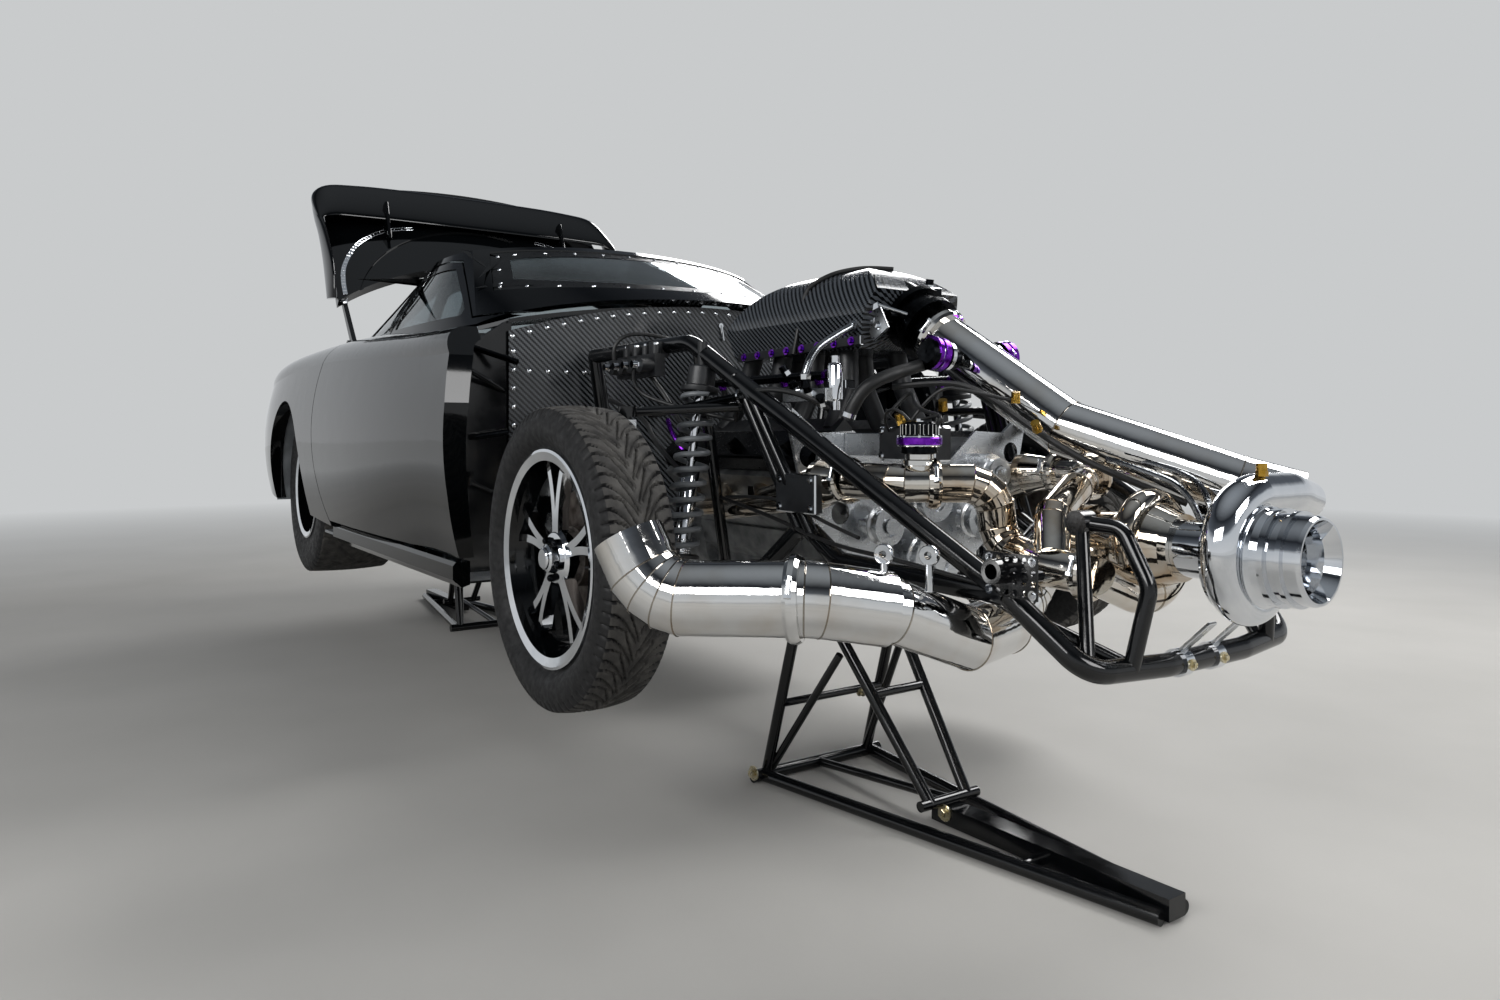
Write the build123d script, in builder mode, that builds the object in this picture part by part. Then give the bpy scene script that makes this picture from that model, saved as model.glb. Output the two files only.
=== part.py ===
from build123d import *
from math import cos, degrees, radians, sin, tan
import os

os.makedirs("parts", exist_ok=True)

# Driving dimensions in mm. X runs forward, Y to the car's left, Z up from the floor.
wheelbase = 2620
nose_reach = 1215            # mouth of the turbo ahead of the front axle
tail_overhang = 860          # tail behind the rear axle
lift_height = 300            # underside of the tyres above the floor
front_axle_x = (wheelbase + tail_overhang - nose_reach) / 2

front_tyre_radius = 330
front_tyre_width = 165
front_bead_radius = 218
front_wheel_y = 757          # centre of the front tyre from the centreline
rear_tyre_radius = 358
rear_tyre_width = 320
rear_bead_radius = 192
rear_wheel_y = 640
front_axle_z = lift_height + front_tyre_radius
rear_axle_z = lift_height + rear_tyre_radius

running_gap = 0.08           # radial clearance of a shaft in its bore
seat_gap = 0.3               # clearance of pieces that sit on each other
shut_gap = 7                 # gap round a door or lid

frame_tube = 41
cage_tube = 41
brace_tube = 28
stand_tube = 32

sides = {"right": -1, "left": 1}


def ahead(x):
    # x is measured forward from the front axle
    return front_axle_x + x


def spots(*points):
    # places whose X is measured from the front axle
    return [(front_axle_x + x, y, z) for x, y, z in points]


def mirrored(points, side):
    return [(x, y * side, z) for x, y, z in points]


def route(points, bend):
    with BuildLine() as path:
        if len(points) == 2:
            Line(points[0], points[1])
        else:
            FilletPolyline(*points, radius=bend)
    return path.line


def tube(points, diameter, bend=90):
    # one round bar or closed tube along straight runs joined by arcs
    line = route(points, bend)
    with BuildSketch(Plane(origin=line @ 0, z_dir=line % 0)) as section:
        Circle(diameter / 2)
    sweep(section.sketch, path=line)


def pie_cuts(corner_points, bend_radius, wedge=15):
    # turns each rounded corner into the short mitred runs of a pie-cut bend
    points = [Vector(*p) for p in corner_points]
    result = [points[0]]
    for before, corner, after in zip(points, points[1:], points[2:]):
        inward = (corner - before).normalized()
        outward = (after - corner).normalized()
        turn = radians(inward.get_angle(outward))
        count = max(1, round(degrees(turn) / wedge))
        start = corner - inward * (bend_radius * tan(turn / 2))
        toward = (outward - inward * outward.dot(inward)).normalized()
        centre = start + toward * bend_radius
        reach = bend_radius / cos(turn / 2 / count)
        for k in range(count):
            angle = turn * (k + 0.5) / count
            result.append(centre - toward * (reach * cos(angle)) + inward * (reach * sin(angle)))
    result.append(points[-1])
    return result


def pie_pipe(corner_points, diameter, bend_radius, wall=0, wedge=15):
    # a pipe of straight pieces with mitred joints
    with BuildLine() as path:
        Polyline(*pie_cuts(corner_points, bend_radius, wedge))
    line = path.line
    with BuildSketch(Plane(origin=line @ 0, z_dir=line % 0)) as section:
        Circle(diameter / 2)
        if wall:
            Circle(diameter / 2 - wall, mode=Mode.SUBTRACT)
    sweep(section.sketch, path=line, transition=Transition.RIGHT)


def disc(centre, direction, radius, length, bore=0, mode=Mode.ADD):
    # a round disc or ring centred on a place
    with BuildSketch(Plane(origin=centre, z_dir=direction)) as section:
        Circle(radius)
        if bore:
            Circle(bore, mode=Mode.SUBTRACT)
    extrude(section.sketch, amount=length / 2, both=True, mode=mode)


def block(low, high, mode=Mode.ADD):
    # a box between two corners whose X is measured from the front axle
    with BuildSketch(Plane.XY.offset(low[2])) as section:
        with Locations((ahead((low[0] + high[0]) / 2), (low[1] + high[1]) / 2)):
            Rectangle(high[0] - low[0], high[1] - low[1])
    extrude(section.sketch, amount=high[2] - low[2], mode=mode)


def turned(origin, direction, profile, mode=Mode.ADD):
    # a turned piece; the profile's points are (distance along the axis, radius)
    along = Vector(*direction).normalized()
    other = Vector(0, 0, 1) if abs(along.Z) < 0.7 else Vector(1, 0, 0)
    with BuildSketch(Plane(origin=origin, x_dir=along, z_dir=along.cross(other))) as section:
        with BuildLine():
            Polyline(*profile, close=True)
        make_face()
    revolve(section.sketch, axis=Axis(origin, along), mode=mode)


def clamp_ring(centre, direction, radius):
    # a V-band clamp round a pipe of this outside radius
    turned(centre, direction, [(-12, radius - 2), (-12, radius + 7), (-5, radius + 11), (5, radius + 11),
                               (12, radius + 7), (12, radius - 2)])


# Tyres: tread crown, square shoulders and a bulged sidewall, one turned solid each.
# columns: node start, radius, width, tread width, bead radius, bead width, centre y, x, z
tyre_table = [
    ("front_tyre", front_tyre_radius, front_tyre_width, 134, front_bead_radius, 124,
     front_wheel_y, 0, front_axle_z),
    ("rear_tyre", rear_tyre_radius, rear_tyre_width, 292, rear_bead_radius, 300,
     rear_wheel_y, -wheelbase, rear_axle_z),
]
crown = 6
shoulder_drop = 20
lip_height = 18

for name, radius, width, tread, bead, bead_width, y, x, z in tyre_table:
    for side, s in sides.items():
        centre = (ahead(x), s * y, z)
        wall_r = (radius + bead) / 2
        bead_top = bead + lip_height + 4
        with BuildPart() as tyre:
            with BuildSketch(Plane(origin=centre, x_dir=(0, s, 0), z_dir=(s, 0, 0))):
                with BuildLine():
                    outer = ThreePointArc((-tread / 2, radius - crown), (0, radius), (tread / 2, radius - crown))
                    near = Line(outer @ 1, (tread / 2 + 12, radius - crown - shoulder_drop))
                    near_wall = ThreePointArc(near @ 1, (width / 2, wall_r), (bead_width / 2, bead_top))
                    seat_line = Polyline(
                        near_wall @ 1, (bead_width / 2, bead), (-bead_width / 2, bead), (-bead_width / 2, bead_top)
                    )
                    far_wall = ThreePointArc(
                        seat_line @ 1, (-width / 2, wall_r), (-tread / 2 - 12, radius - crown - shoulder_drop)
                    )
                    Line(far_wall @ 1, outer @ 0)
                make_face()
            revolve(axis=Axis(centre, (0, 1, 0)))
        tyre.part.label = f"{name}_{side}"
        export_step(tyre.part, f"parts/{name}_{side}.step")

# Wheels: a turned barrel with two lips, a domed hub and five pairs of curved spokes.
spindle_radius = 22
axle_shaft_radius = 32
barrel_wall = 7
# columns: name, bead radius, bead width, y, x, z, spoke face from centre, spoke depth, hub radius, shaft
rim_table = [
    ("front_rim", front_bead_radius, 124, front_wheel_y, 0, front_axle_z, 44, 26, 62, spindle_radius),
    ("rear_rim", rear_bead_radius, 300, rear_wheel_y, -wheelbase, rear_axle_z, 20, 30, 70,
     axle_shaft_radius),
]
spoke_pairs = 5
spoke_width = 17
spoke_spread = 15            # degrees between the two spokes of a pair at the hub
spoke_splay = 21             # the same at the barrel

for name, bead, bead_width, y, x, z, face, depth, hub, shaft in rim_table:
    for side, s in sides.items():
        centre = (ahead(x), s * y, z)
        half = bead_width / 2
        skin = bead - seat_gap
        with BuildPart() as rim:
            with BuildSketch(Plane(origin=centre, x_dir=(0, s, 0), z_dir=(s, 0, 0))):
                with BuildLine():
                    Polyline(
                        (-half - 7, skin + lip_height), (-half - seat_gap, skin + lip_height), (-half - seat_gap, skin),
                        (half + seat_gap, skin), (half + seat_gap, skin + lip_height), (half + 7, skin + lip_height),
                        (half + 9, skin + lip_height - 6), (half + 4, skin - barrel_wall),
                        (face + 6, skin - barrel_wall - 4), (face - depth, skin - barrel_wall - 14),
                        (-half, skin - barrel_wall - 14), (-half - 7, skin - barrel_wall + 6), close=True,
                    )
                make_face()
            revolve(axis=Axis(centre, (0, 1, 0)))
            with BuildSketch(Plane(origin=centre, x_dir=(0, s, 0), z_dir=(s, 0, 0))):
                with BuildLine():
                    Polyline(
                        (face - depth - 14, 0), (face - depth - 14, hub), (face - 6, hub), (face + 2, hub - 8),
                        (face + 4, 34), (face + 20, 30), (face + 24, 24), (face + 24, 0), close=True,
                    )
                make_face()
            revolve(axis=Axis(centre, (0, 1, 0)))
            face_plane = Plane(origin=(centre[0], s * (y + face), z), x_dir=(1, 0, 0), z_dir=(0, s, 0))
            with BuildSketch(face_plane):
                for pair in range(spoke_pairs):
                    middle = 90 + pair * 360 / spoke_pairs
                    for lean in (-1, 1):
                        with BuildLine(mode=Mode.PRIVATE) as curve:
                            ThreePointArc(
                                Vector(hub - 12, 0).rotate(Axis.Z, middle + lean * spoke_spread / 2),
                                Vector((hub + bead) / 2, 0).rotate(Axis.Z, middle + lean * spoke_spread * 0.42),
                                Vector(bead - 16, 0).rotate(Axis.Z, middle + lean * spoke_splay / 2),
                            )
                        SlotArc(curve.edge(), spoke_width)
            extrude(amount=-depth)
            disc((centre[0], s * (y + face - depth - 14 + 20), z), (0, 1, 0), shaft + running_gap, 60,
                 mode=Mode.SUBTRACT)
        rim.part.label = f"{name}_{side}"
        export_step(rim.part, f"parts/{name}_{side}.step")

# Front brake discs turn with the wheels, inboard of the spokes.
disc_radius = 150
disc_thickness = 14
disc_y = front_wheel_y - 32
for side, s in sides.items():
    with BuildPart() as front_rotor:
        centre = (ahead(0), s * disc_y, front_axle_z)
        disc(centre, (0, 1, 0), disc_radius, disc_thickness, bore=62)
        hat_end = front_wheel_y + 44 - 26 - 14 - seat_gap
        hat_start = disc_y - disc_thickness / 2
        disc((ahead(0), s * (hat_start + hat_end) / 2, front_axle_z), (0, 1, 0), 66, hat_end - hat_start,
             bore=spindle_radius + 6)
    front_rotor.part.label = f"front_rotor_{side}"
    export_step(front_rotor.part, f"parts/front_rotor_{side}.step")

# Steering knuckles: a machined upright, spindle, steering arm and a caliper round the disc.
kingpin_y = 625
upright_top = 930
upright_bottom = 520
upright_y = kingpin_y
kingpin_radius = 9
kingpin_depth = 26
arm_eye_x = -115
caliper_outer = 170
caliper_inner = 92
for side, s in sides.items():
    with BuildPart() as knuckle:
        with BuildSketch(Plane.XZ.offset(-s * (upright_y - 15))):
            with BuildLine():
                Polyline(
                    (ahead(-26), upright_bottom), (ahead(26), upright_bottom), (ahead(44), front_axle_z - 60),
                    (ahead(44), front_axle_z + 50), (ahead(17), front_axle_z + 110), (ahead(14), upright_top),
                    (ahead(-14), upright_top), (ahead(-20), front_axle_z + 110), (ahead(-44), front_axle_z + 50),
                    (ahead(-44), front_axle_z - 60), close=True,
                )
            make_face()
        extrude(amount=-s * 30)
        tube(mirrored(spots((-20, upright_y, 590), (arm_eye_x, upright_y - 30, 575)), s), 26)
        disc((ahead(arm_eye_x), s * (upright_y - 30), 575), (0, 0, 1), 20, 34)
        with BuildSketch(Plane(origin=(ahead(0), s * (disc_y - 30), front_axle_z), x_dir=(1, 0, 0), z_dir=(0, -s, 0))):
            with BuildLine():
                outer = CenterArc((0, 0), caliper_outer, 150, 60)
                inner = CenterArc((0, 0), caliper_inner, 150, 60)
                Line(outer @ 0, inner @ 0)
                Line(outer @ 1, inner @ 1)
            make_face()
        extrude(amount=-60)
        disc((ahead(0), s * disc_y, front_axle_z), (0, 1, 0), disc_radius + 5, disc_thickness + 10, mode=Mode.SUBTRACT)
        spindle_end = front_wheel_y + 44 - 26 - 14 + 40
        disc((ahead(0), s * (upright_y + spindle_end) / 2, front_axle_z), (0, 1, 0), spindle_radius,
             spindle_end - upright_y)
        tube(mirrored(spots((-108, disc_y - 22, front_axle_z), (-30, upright_y, front_axle_z)), s), 30)
        for level in (upright_bottom, upright_top):
            disc((ahead(0), s * kingpin_y, level), (0, 0, 1), kingpin_radius + running_gap, 2 * kingpin_depth,
                 mode=Mode.SUBTRACT)
    knuckle.part.label = f"knuckle_{side}"
    export_step(knuckle.part, f"parts/knuckle_{side}.step")

# Front frame ahead of the firewall: two bent side frames, a wide-bend front bar and braces.
frame_rear_x = -565         # the side frames stand just ahead of the firewall
rail_joint_x = -590
floor_low = 505              # underside of the floor sheet
floor_sheet = 10
rail_z = floor_low - seat_gap - frame_tube / 2
bar_x = 1013
bar_z = 500
bar_half = 300
junction = (860, 345, 620)
hoop_apex = (905, 205, 742)
rail_top = (-60, 420, 1120)
with BuildPart() as front_frame:
    tube(spots(
        (junction[0], -junction[1], junction[2]), (bar_x - 20, -bar_half - 6, bar_z + 6),
        (bar_x, -120, bar_z), (bar_x, 120, bar_z), (bar_x - 20, bar_half + 6, bar_z + 6), junction,
    ), frame_tube, [60, 100, 100, 60])
    for s in sides.values():
        tube(mirrored(spots((frame_rear_x, 430, 1118), rail_top, junction), s), frame_tube, 120)
        tube(mirrored(spots((rail_joint_x, 330, rail_z), (-200, 330, rail_z), (60, 330, 540), (280, 335, 700),
                            (400, 335, 630), junction), s), frame_tube, [80, 80, 60, 60])
        tube(mirrored(spots((120, 411, 1032), (280, 350, 690)), s), brace_tube)
        tube(mirrored(spots((165, 408, 1000), (330, 348, 672)), s), brace_tube)
        tube(mirrored(spots((junction[0] - 60, 340, 622), (junction[0] + 40, 300, 570), (bar_x - 2, 200, bar_z)), s),
             brace_tube, 60)
        tube(mirrored(spots((-30, 420, 1110), (-30, 330, 530)), s), brace_tube)
        tube(mirrored(spots((frame_rear_x, 429, 1118), (frame_rear_x, 330, rail_z)), s), frame_tube)
    tube(spots((60, -330, 540), (60, 330, 540)), frame_tube)
    # the hoop that carries the turbo, a bent tube each side with a bolted bracket at its top
    for s in sides.values():
        tube(mirrored(spots((bar_x - 4, 215, bar_z), (bar_x + 16, 190, 640), (bar_x - 40, 185, 735), hoop_apex), s),
             brace_tube, [45, 34])
        tube(mirrored(spots((bar_x - 30, 292, bar_z), hoop_apex), s), brace_tube - 3)
        disc((ahead(hoop_apex[0]), s * hoop_apex[1], hoop_apex[2]), (0, 1, 0), 22, 36)
        tube(mirrored(spots(hoop_apex, (hoop_apex[0], 135, hoop_apex[2] - 24)), s), 18)
front_frame.part.label = "front_frame"
export_step(front_frame.part, "parts/front_frame.step")

# Sockets and drilled plates that take the removed front body section.
socket_bore = 13
socket_length = 90
with BuildPart() as clip_mounts:
    for s in sides.values():
        centre = (ahead(junction[0] + 36), s * (junction[1] + 40), junction[2] + 52)
        disc(centre, (0, 1, 0), 21, socket_length)
        low, high = sorted((s * (junction[1] - 8), s * (junction[1] + 8)))
        block((junction[0] - 14, low, junction[2]), (junction[0] + 26, high, junction[2] + 60))
        disc(centre, (0, 1, 0), socket_bore, 2 * socket_length, mode=Mode.SUBTRACT)
    add(front_frame.part, mode=Mode.SUBTRACT)
clip_mounts.part.label = "clip_mounts"
export_step(clip_mounts.part, "parts/clip_mounts.step")

# Body outline: sections of the lower body from the doors to the tail.
door_front_x = -470
tail_x = -(wheelbase + tail_overhang)
side_wall = 58
deck_wall = 30
deck_crown = 18
# columns: x, half width at the sill, sill z, half width at the waist, waist z, shoulder half, shoulder z,
# deck half, deck z
section_table = [
    (door_front_x, 838, 570, 893, 930, 868, 1105, 790, 1182),
    (-1250, 846, 560, 900, 930, 866, 1135, 740, 1218),
    (-1960, 850, 560, 896, 925, 862, 1160, 716, 1242),
    (-2620, 852, 590, 890, 920, 858, 1150, 762, 1232),
    (-3150, 838, 610, 866, 910, 832, 1122, 745, 1214),
    (tail_x, 780, 650, 812, 900, 770, 1095, 690, 1188),
]


def body_section(row, side_inset, top_inset, floor_drop):
    x, sill, low, waist, waist_z, shoulder, shoulder_z, deck, deck_z = row
    s_in = side_inset
    with BuildSketch(Plane.YZ.offset(ahead(x))) as section:
        with BuildLine():
            bottom = Line((s_in - sill, low - floor_drop), (sill - s_in, low - floor_drop))
            flank = ThreePointArc(bottom @ 1, (waist - s_in, waist_z), (shoulder - s_in, shoulder_z))
            bend = ThreePointArc(
                flank @ 1, ((shoulder * 0.72 + deck * 0.28) - s_in * 0.9, shoulder_z * 0.28 + deck_z * 0.72 - top_inset),
                (deck - s_in * 0.7, deck_z - top_inset),
            )
            mirror(flank, about=Plane.YZ)
            mirror(bend, about=Plane.YZ)
            ThreePointArc(
                (deck - s_in * 0.7, deck_z - top_inset), (0, deck_z + deck_crown - top_inset),
                (s_in * 0.7 - deck, deck_z - top_inset),
            )
        make_face()
    return section.sketch


def body_solid(side_inset, top_inset, floor_drop, front_reach, tail_trim):
    # the closed outer form of the lower body, or a smaller copy of it to hollow it out
    rows = [list(row) for row in section_table]
    rows[0][0] += front_reach
    rows[-1][0] += tail_trim
    loft([body_section(row, side_inset, top_inset, floor_drop) for row in rows])


# Greenhouse outline: plan outlines at the belt and above the roof, joined by straight rulings.
belt_z = 1228
outline_top_z = 1600
# columns: z, front centre x, front corner x, front corner y, side y, rear corner x, rear corner y, rear centre x
outline_table = [
    (belt_z, -352, -920, 647, 702, -2332, 664, -2775),
    (outline_top_z, -1291, -1345, 515, 532, -1535, 480, -1620),
]
roof_drop = 0.000139         # sideways crown of the roof per mm squared
# columns: x, roof z on the centreline
roof_table = [(-300, 1440), (-1450, 1553), (-2700, 1430)]


def greenhouse_outline(row, end_inset, side_inset, drop):
    z, nose, corner_x, corner_y, side_y, rear_x, rear_y, rear = row
    with BuildSketch(Plane.XY.offset(z - drop)) as section:
        with BuildLine():
            front_left = Vector(ahead(corner_x - end_inset * 0.8), corner_y - side_inset)
            front_right = Vector(ahead(corner_x - end_inset * 0.8), side_inset - corner_y)
            back_left = Vector(ahead(rear_x + end_inset * 0.8), rear_y - side_inset)
            back_right = Vector(ahead(rear_x + end_inset * 0.8), side_inset - rear_y)
            middle = ahead((corner_x + rear_x) / 2)
            ThreePointArc(front_right, (ahead(nose - end_inset), 0), front_left)
            ThreePointArc(front_left, (middle, side_y - side_inset), back_left)
            ThreePointArc(back_left, (ahead(rear + end_inset), 0), back_right)
            ThreePointArc(back_right, (middle, side_inset - side_y), front_right)
        make_face()
    return section.sketch


def roof_section(x, z, drop):
    with BuildSketch(Plane.YZ.offset(ahead(x))) as section:
        with BuildLine():
            edge = 800
            low = z - drop - roof_drop * edge * edge
            ThreePointArc((-edge, low), (0, z - drop), (edge, low))
            Polyline((edge, low), (edge, 900), (-edge, 900), (-edge, low))
        make_face()
    return section.sketch


def greenhouse_solid(end_inset, side_inset, roof_inset, base_drop=0):
    # the closed form of the glass and roof, or a smaller copy of it
    loft([greenhouse_outline(row, end_inset, side_inset, base_drop) for row in outline_table], ruled=True)
    with BuildPart(mode=Mode.PRIVATE) as roof_block:
        loft([roof_section(x, z, roof_inset) for x, z in roof_table])
    add(roof_block.part, mode=Mode.INTERSECT)


def side_prism(points, near, far, grow=0, corner=0):
    # an outline in side view, in X and Z, extruded across from y = near to y = far
    with BuildSketch(Plane.XZ.offset(-near)) as outline:
        with BuildLine():
            for start, *middle, end in points:
                placed = [(ahead(x), z) for x, z in (start, *middle, end)]
                if middle:
                    ThreePointArc(*placed)
                else:
                    Line(*placed)
        make_face()
        if corner:
            fillet(outline.vertices(), corner)
        if grow:
            offset(amount=grow, kind=Kind.INTERSECTION)
    return extrude(outline.sketch, amount=near - far, mode=Mode.PRIVATE)


def plan_prism(points, low, high):
    # an outline in plan, in X and Y, extruded from z = low to z = high
    with BuildSketch(Plane.XY.offset(low)) as outline:
        with BuildLine():
            for start, *middle, end in points:
                placed = [(ahead(x), y) for x, y in (start, *middle, end)]
                if middle:
                    ThreePointArc(*placed)
                else:
                    Line(*placed)
        make_face()
    return extrude(outline.sketch, amount=high - low, mode=Mode.PRIVATE)


# Side-view outlines as runs of lines and arcs, each run a list of (x, z).
door_bottom = 578
window_sill = 1268
pillar_shut_gap = 15         # the window frame swings rearward as it opens, so its rear gap is wider


def door_outline(frame_shift=0):
    frame_top = -1655 - frame_shift
    frame_foot = -1700 - frame_shift
    return [
        [(-515, door_bottom), (-462, 900), (-500, 1100)],
        [(-500, 1100), (-622, 1250)],
        [(-622, 1250), (-975, 1250)],
        [(-975, 1250), (-1264, 1468)],
        [(-1264, 1468), (-1450, 1480), (frame_top, 1466)],
        [(frame_top, 1466), (frame_foot, 1252)],
        [(frame_foot, 1252), (-1925, 1252)],
        [(-1925, 1252), (-2006, 930), (-1888, door_bottom)],
        [(-1888, door_bottom), (-515, door_bottom)],
    ]


door_window = [
    [(-1030, window_sill), (-1284, 1447)],
    [(-1284, 1447), (-1450, 1455), (-1630, 1445)],
    [(-1630, 1445), (-1668, window_sill)],
    [(-1668, window_sill), (-1030, window_sill)],
]
quarter_window = [
    [(-1752, window_sill), (-1722, 1440)],
    [(-1722, 1440), (-1790, 1436)],
    [(-1790, 1436), (-2150, window_sill)],
    [(-2150, window_sill), (-1752, window_sill)],
]
# Plan outlines of the two big windows and of the openings in the top of the body.
windshield_window = [
    [(-975, -575), (-632, 0), (-975, 575)],
    [(-975, 575), (-1196, 505)],
    [(-1196, 505), (-1098, 0), (-1196, -505)],
    [(-1196, -505), (-975, -575)],
]
rear_window = [
    [(-1835, -470), (-1800, 0), (-1835, 470)],
    [(-1835, 470), (-2265, 578)],
    [(-2265, 578), (-2590, 0), (-2265, -578)],
    [(-2265, -578), (-1835, -470)],
]
cabin_opening = [
    [(-930, -600), (-700, 0), (-930, 600)],
    [(-930, 600), (-1620, 668), (-2320, 622)],
    [(-2320, 622), (-2630, 0), (-2320, -622)],
    [(-2320, -622), (-1620, -668), (-930, -600)],
]
deck_front_x = -2560
deck_rear_x = -3370
deck_half = 742
deck_bow = 225               # the lid's front edge bows rearward by this much at the centreline


def deck_outline(grow):
    front = deck_front_x + grow
    rear = deck_rear_x - grow
    half = deck_half + grow
    return [
        [(front, -half), (front - deck_bow, 0), (front, half)],
        [(front, half), (rear, half - 34)],
        [(rear, half - 34), (rear, 34 - half)],
        [(rear, 34 - half), (front, -half)],
    ]


glass_slope_rise = 0.184     # the windshield's base edge rises forward by this much per mm
arch_radius = 378
arch_x = -wheelbase

# The hollow lower body with its cabin, deck and arch openings, before the doors are parted off.
with BuildPart() as lower_form:
    body_solid(0, 0, 0, 0, 0)
    with BuildPart(mode=Mode.PRIVATE) as lower_hollow:
        body_solid(side_wall, deck_wall, 90, 60, side_wall)
    add(lower_hollow.part, mode=Mode.SUBTRACT)
    add(plan_prism(cabin_opening, 1100, 1400), mode=Mode.SUBTRACT)
    add(plan_prism(deck_outline(shut_gap), 1100, 1400), mode=Mode.SUBTRACT)
    block((-925, -772, 500), (0, 772, 1400), mode=Mode.SUBTRACT)
    disc((ahead(arch_x), 0, rear_axle_z), (0, 1, 0), arch_radius, 2000, mode=Mode.SUBTRACT)

# The greenhouse shell with its windows cut and its front edge trimmed along the glass.
roof_wall = 26
with BuildPart() as upper_form:
    greenhouse_solid(0, 0, 0)
    with BuildPart(mode=Mode.PRIVATE) as upper_hollow:
        greenhouse_solid(66, 28, roof_wall, base_drop=0)
    add(upper_hollow.part, mode=Mode.SUBTRACT)
    add(side_prism([
        [(-920, belt_z - 40), (-920, belt_z)],
        [(-920, belt_z), (-200, belt_z + glass_slope_rise * 720)],
        [(-200, belt_z + glass_slope_rise * 720), (-200, belt_z - 40)],
        [(-200, belt_z - 40), (-920, belt_z - 40)],
    ], -900, 900), mode=Mode.SUBTRACT)
    add(plan_prism(windshield_window, 1150, 1700), mode=Mode.SUBTRACT)
    add(plan_prism(rear_window, 1150, 1700), mode=Mode.SUBTRACT)
    add(side_prism(quarter_window, -900, 900, corner=12), mode=Mode.SUBTRACT)

lamp_inner = 400
lamp_outer = 715
lamp_low = 965
lamp_high = 1065
lamp_depth = 16

# Body shell: quarters, tail, roof, pillars and window frames as one moulding, doors parted off.
with BuildPart() as body_shell:
    add(lower_form.part)
    add(upper_form.part)
    add(side_prism(door_outline(pillar_shut_gap - shut_gap), -1000, 1000, grow=shut_gap), mode=Mode.SUBTRACT)
    for s in sides.values():
        low, high = sorted((s * 600, s * 1000))
        block((-1890, low, 400), (0, high, 1225), mode=Mode.SUBTRACT)
        low, high = sorted((s * lamp_inner, s * lamp_outer))
        block((tail_x - 5, low, lamp_low), (tail_x + lamp_depth, high, lamp_high), mode=Mode.SUBTRACT)
body_shell.part.label = "body_shell"
export_step(body_shell.part, "parts/body_shell.step")

# Door hinges: ears on the pillars, arms and pins on the doors.
hinge_x = -600
hinge_y = 790
hinge_pin = 8
hinge_ear = 15
hinge_levels = (760, 1060)
ear_height = 24
hinge_arm_height = 14

# Doors: the same skins inside the shut line, one wall thick, each with its window cut.
for side, s in sides.items():
    with BuildPart() as door:
        add(lower_form.part)
        add(upper_form.part)
        add(side_prism(door_outline(), s * 400, s * 1000), mode=Mode.INTERSECT)
        add(side_prism(door_window, s * 400, s * 1000, corner=14), mode=Mode.SUBTRACT)
        for level in hinge_levels:
            arm_low = level + ear_height + seat_gap
            low, high = sorted((s * (hinge_y - hinge_ear), s * (hinge_y + 45)))
            block((hinge_x - 22, low, arm_low), (hinge_x + 22, high, arm_low + hinge_arm_height))
            disc((ahead(hinge_x), s * hinge_y, level + (ear_height + hinge_arm_height) / 2), (0, 0, 1), hinge_pin,
                 ear_height + hinge_arm_height)
    door.part.label = f"door_{side}"
    export_step(door.part, f"parts/door_{side}.step")

# Panes lie in the frames, just under the outer face.
pane_depth = 4
pane_thickness = 6
steep = 2.7                  # sideways inset per mm of depth on the raked front and rear glass
with BuildPart() as pane_form:
    greenhouse_solid(pane_depth * steep, pane_depth, pane_depth)
    with BuildPart(mode=Mode.PRIVATE) as pane_hollow:
        greenhouse_solid((pane_depth + pane_thickness) * steep, pane_depth + pane_thickness, pane_depth + pane_thickness)
    add(pane_hollow.part, mode=Mode.SUBTRACT)
with BuildPart() as fixed_glass:
    add(pane_form.part)
    with BuildPart(mode=Mode.PRIVATE) as pane_openings:
        add(plan_prism(windshield_window, 1150, 1700))
        add(plan_prism(rear_window, 1150, 1700))
        add(side_prism(quarter_window, -900, 900, corner=12))
    add(pane_openings.part, mode=Mode.INTERSECT)
fixed_glass.part.label = "fixed_glass"
export_step(fixed_glass.part, "parts/fixed_glass.step")
for side, s in sides.items():
    with BuildPart() as door_glass:
        add(pane_form.part)
        add(side_prism(door_window, s * 400, s * 1000, corner=14), mode=Mode.INTERSECT)
    door_glass.part.label = f"door_glass_{side}"
    export_step(door_glass.part, f"parts/door_glass_{side}.step")

# Tail lamps fill the pockets in the tail.
with BuildPart() as tail_lamps:
    for s in sides.values():
        low, high = sorted((s * (lamp_inner + seat_gap), s * (lamp_outer - seat_gap)))
        block((tail_x, low, lamp_low + seat_gap), (tail_x + lamp_depth - seat_gap, high, lamp_high - seat_gap))
tail_lamps.part.label = "tail_lamps"
export_step(tail_lamps.part, "parts/tail_lamps.step")

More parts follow.
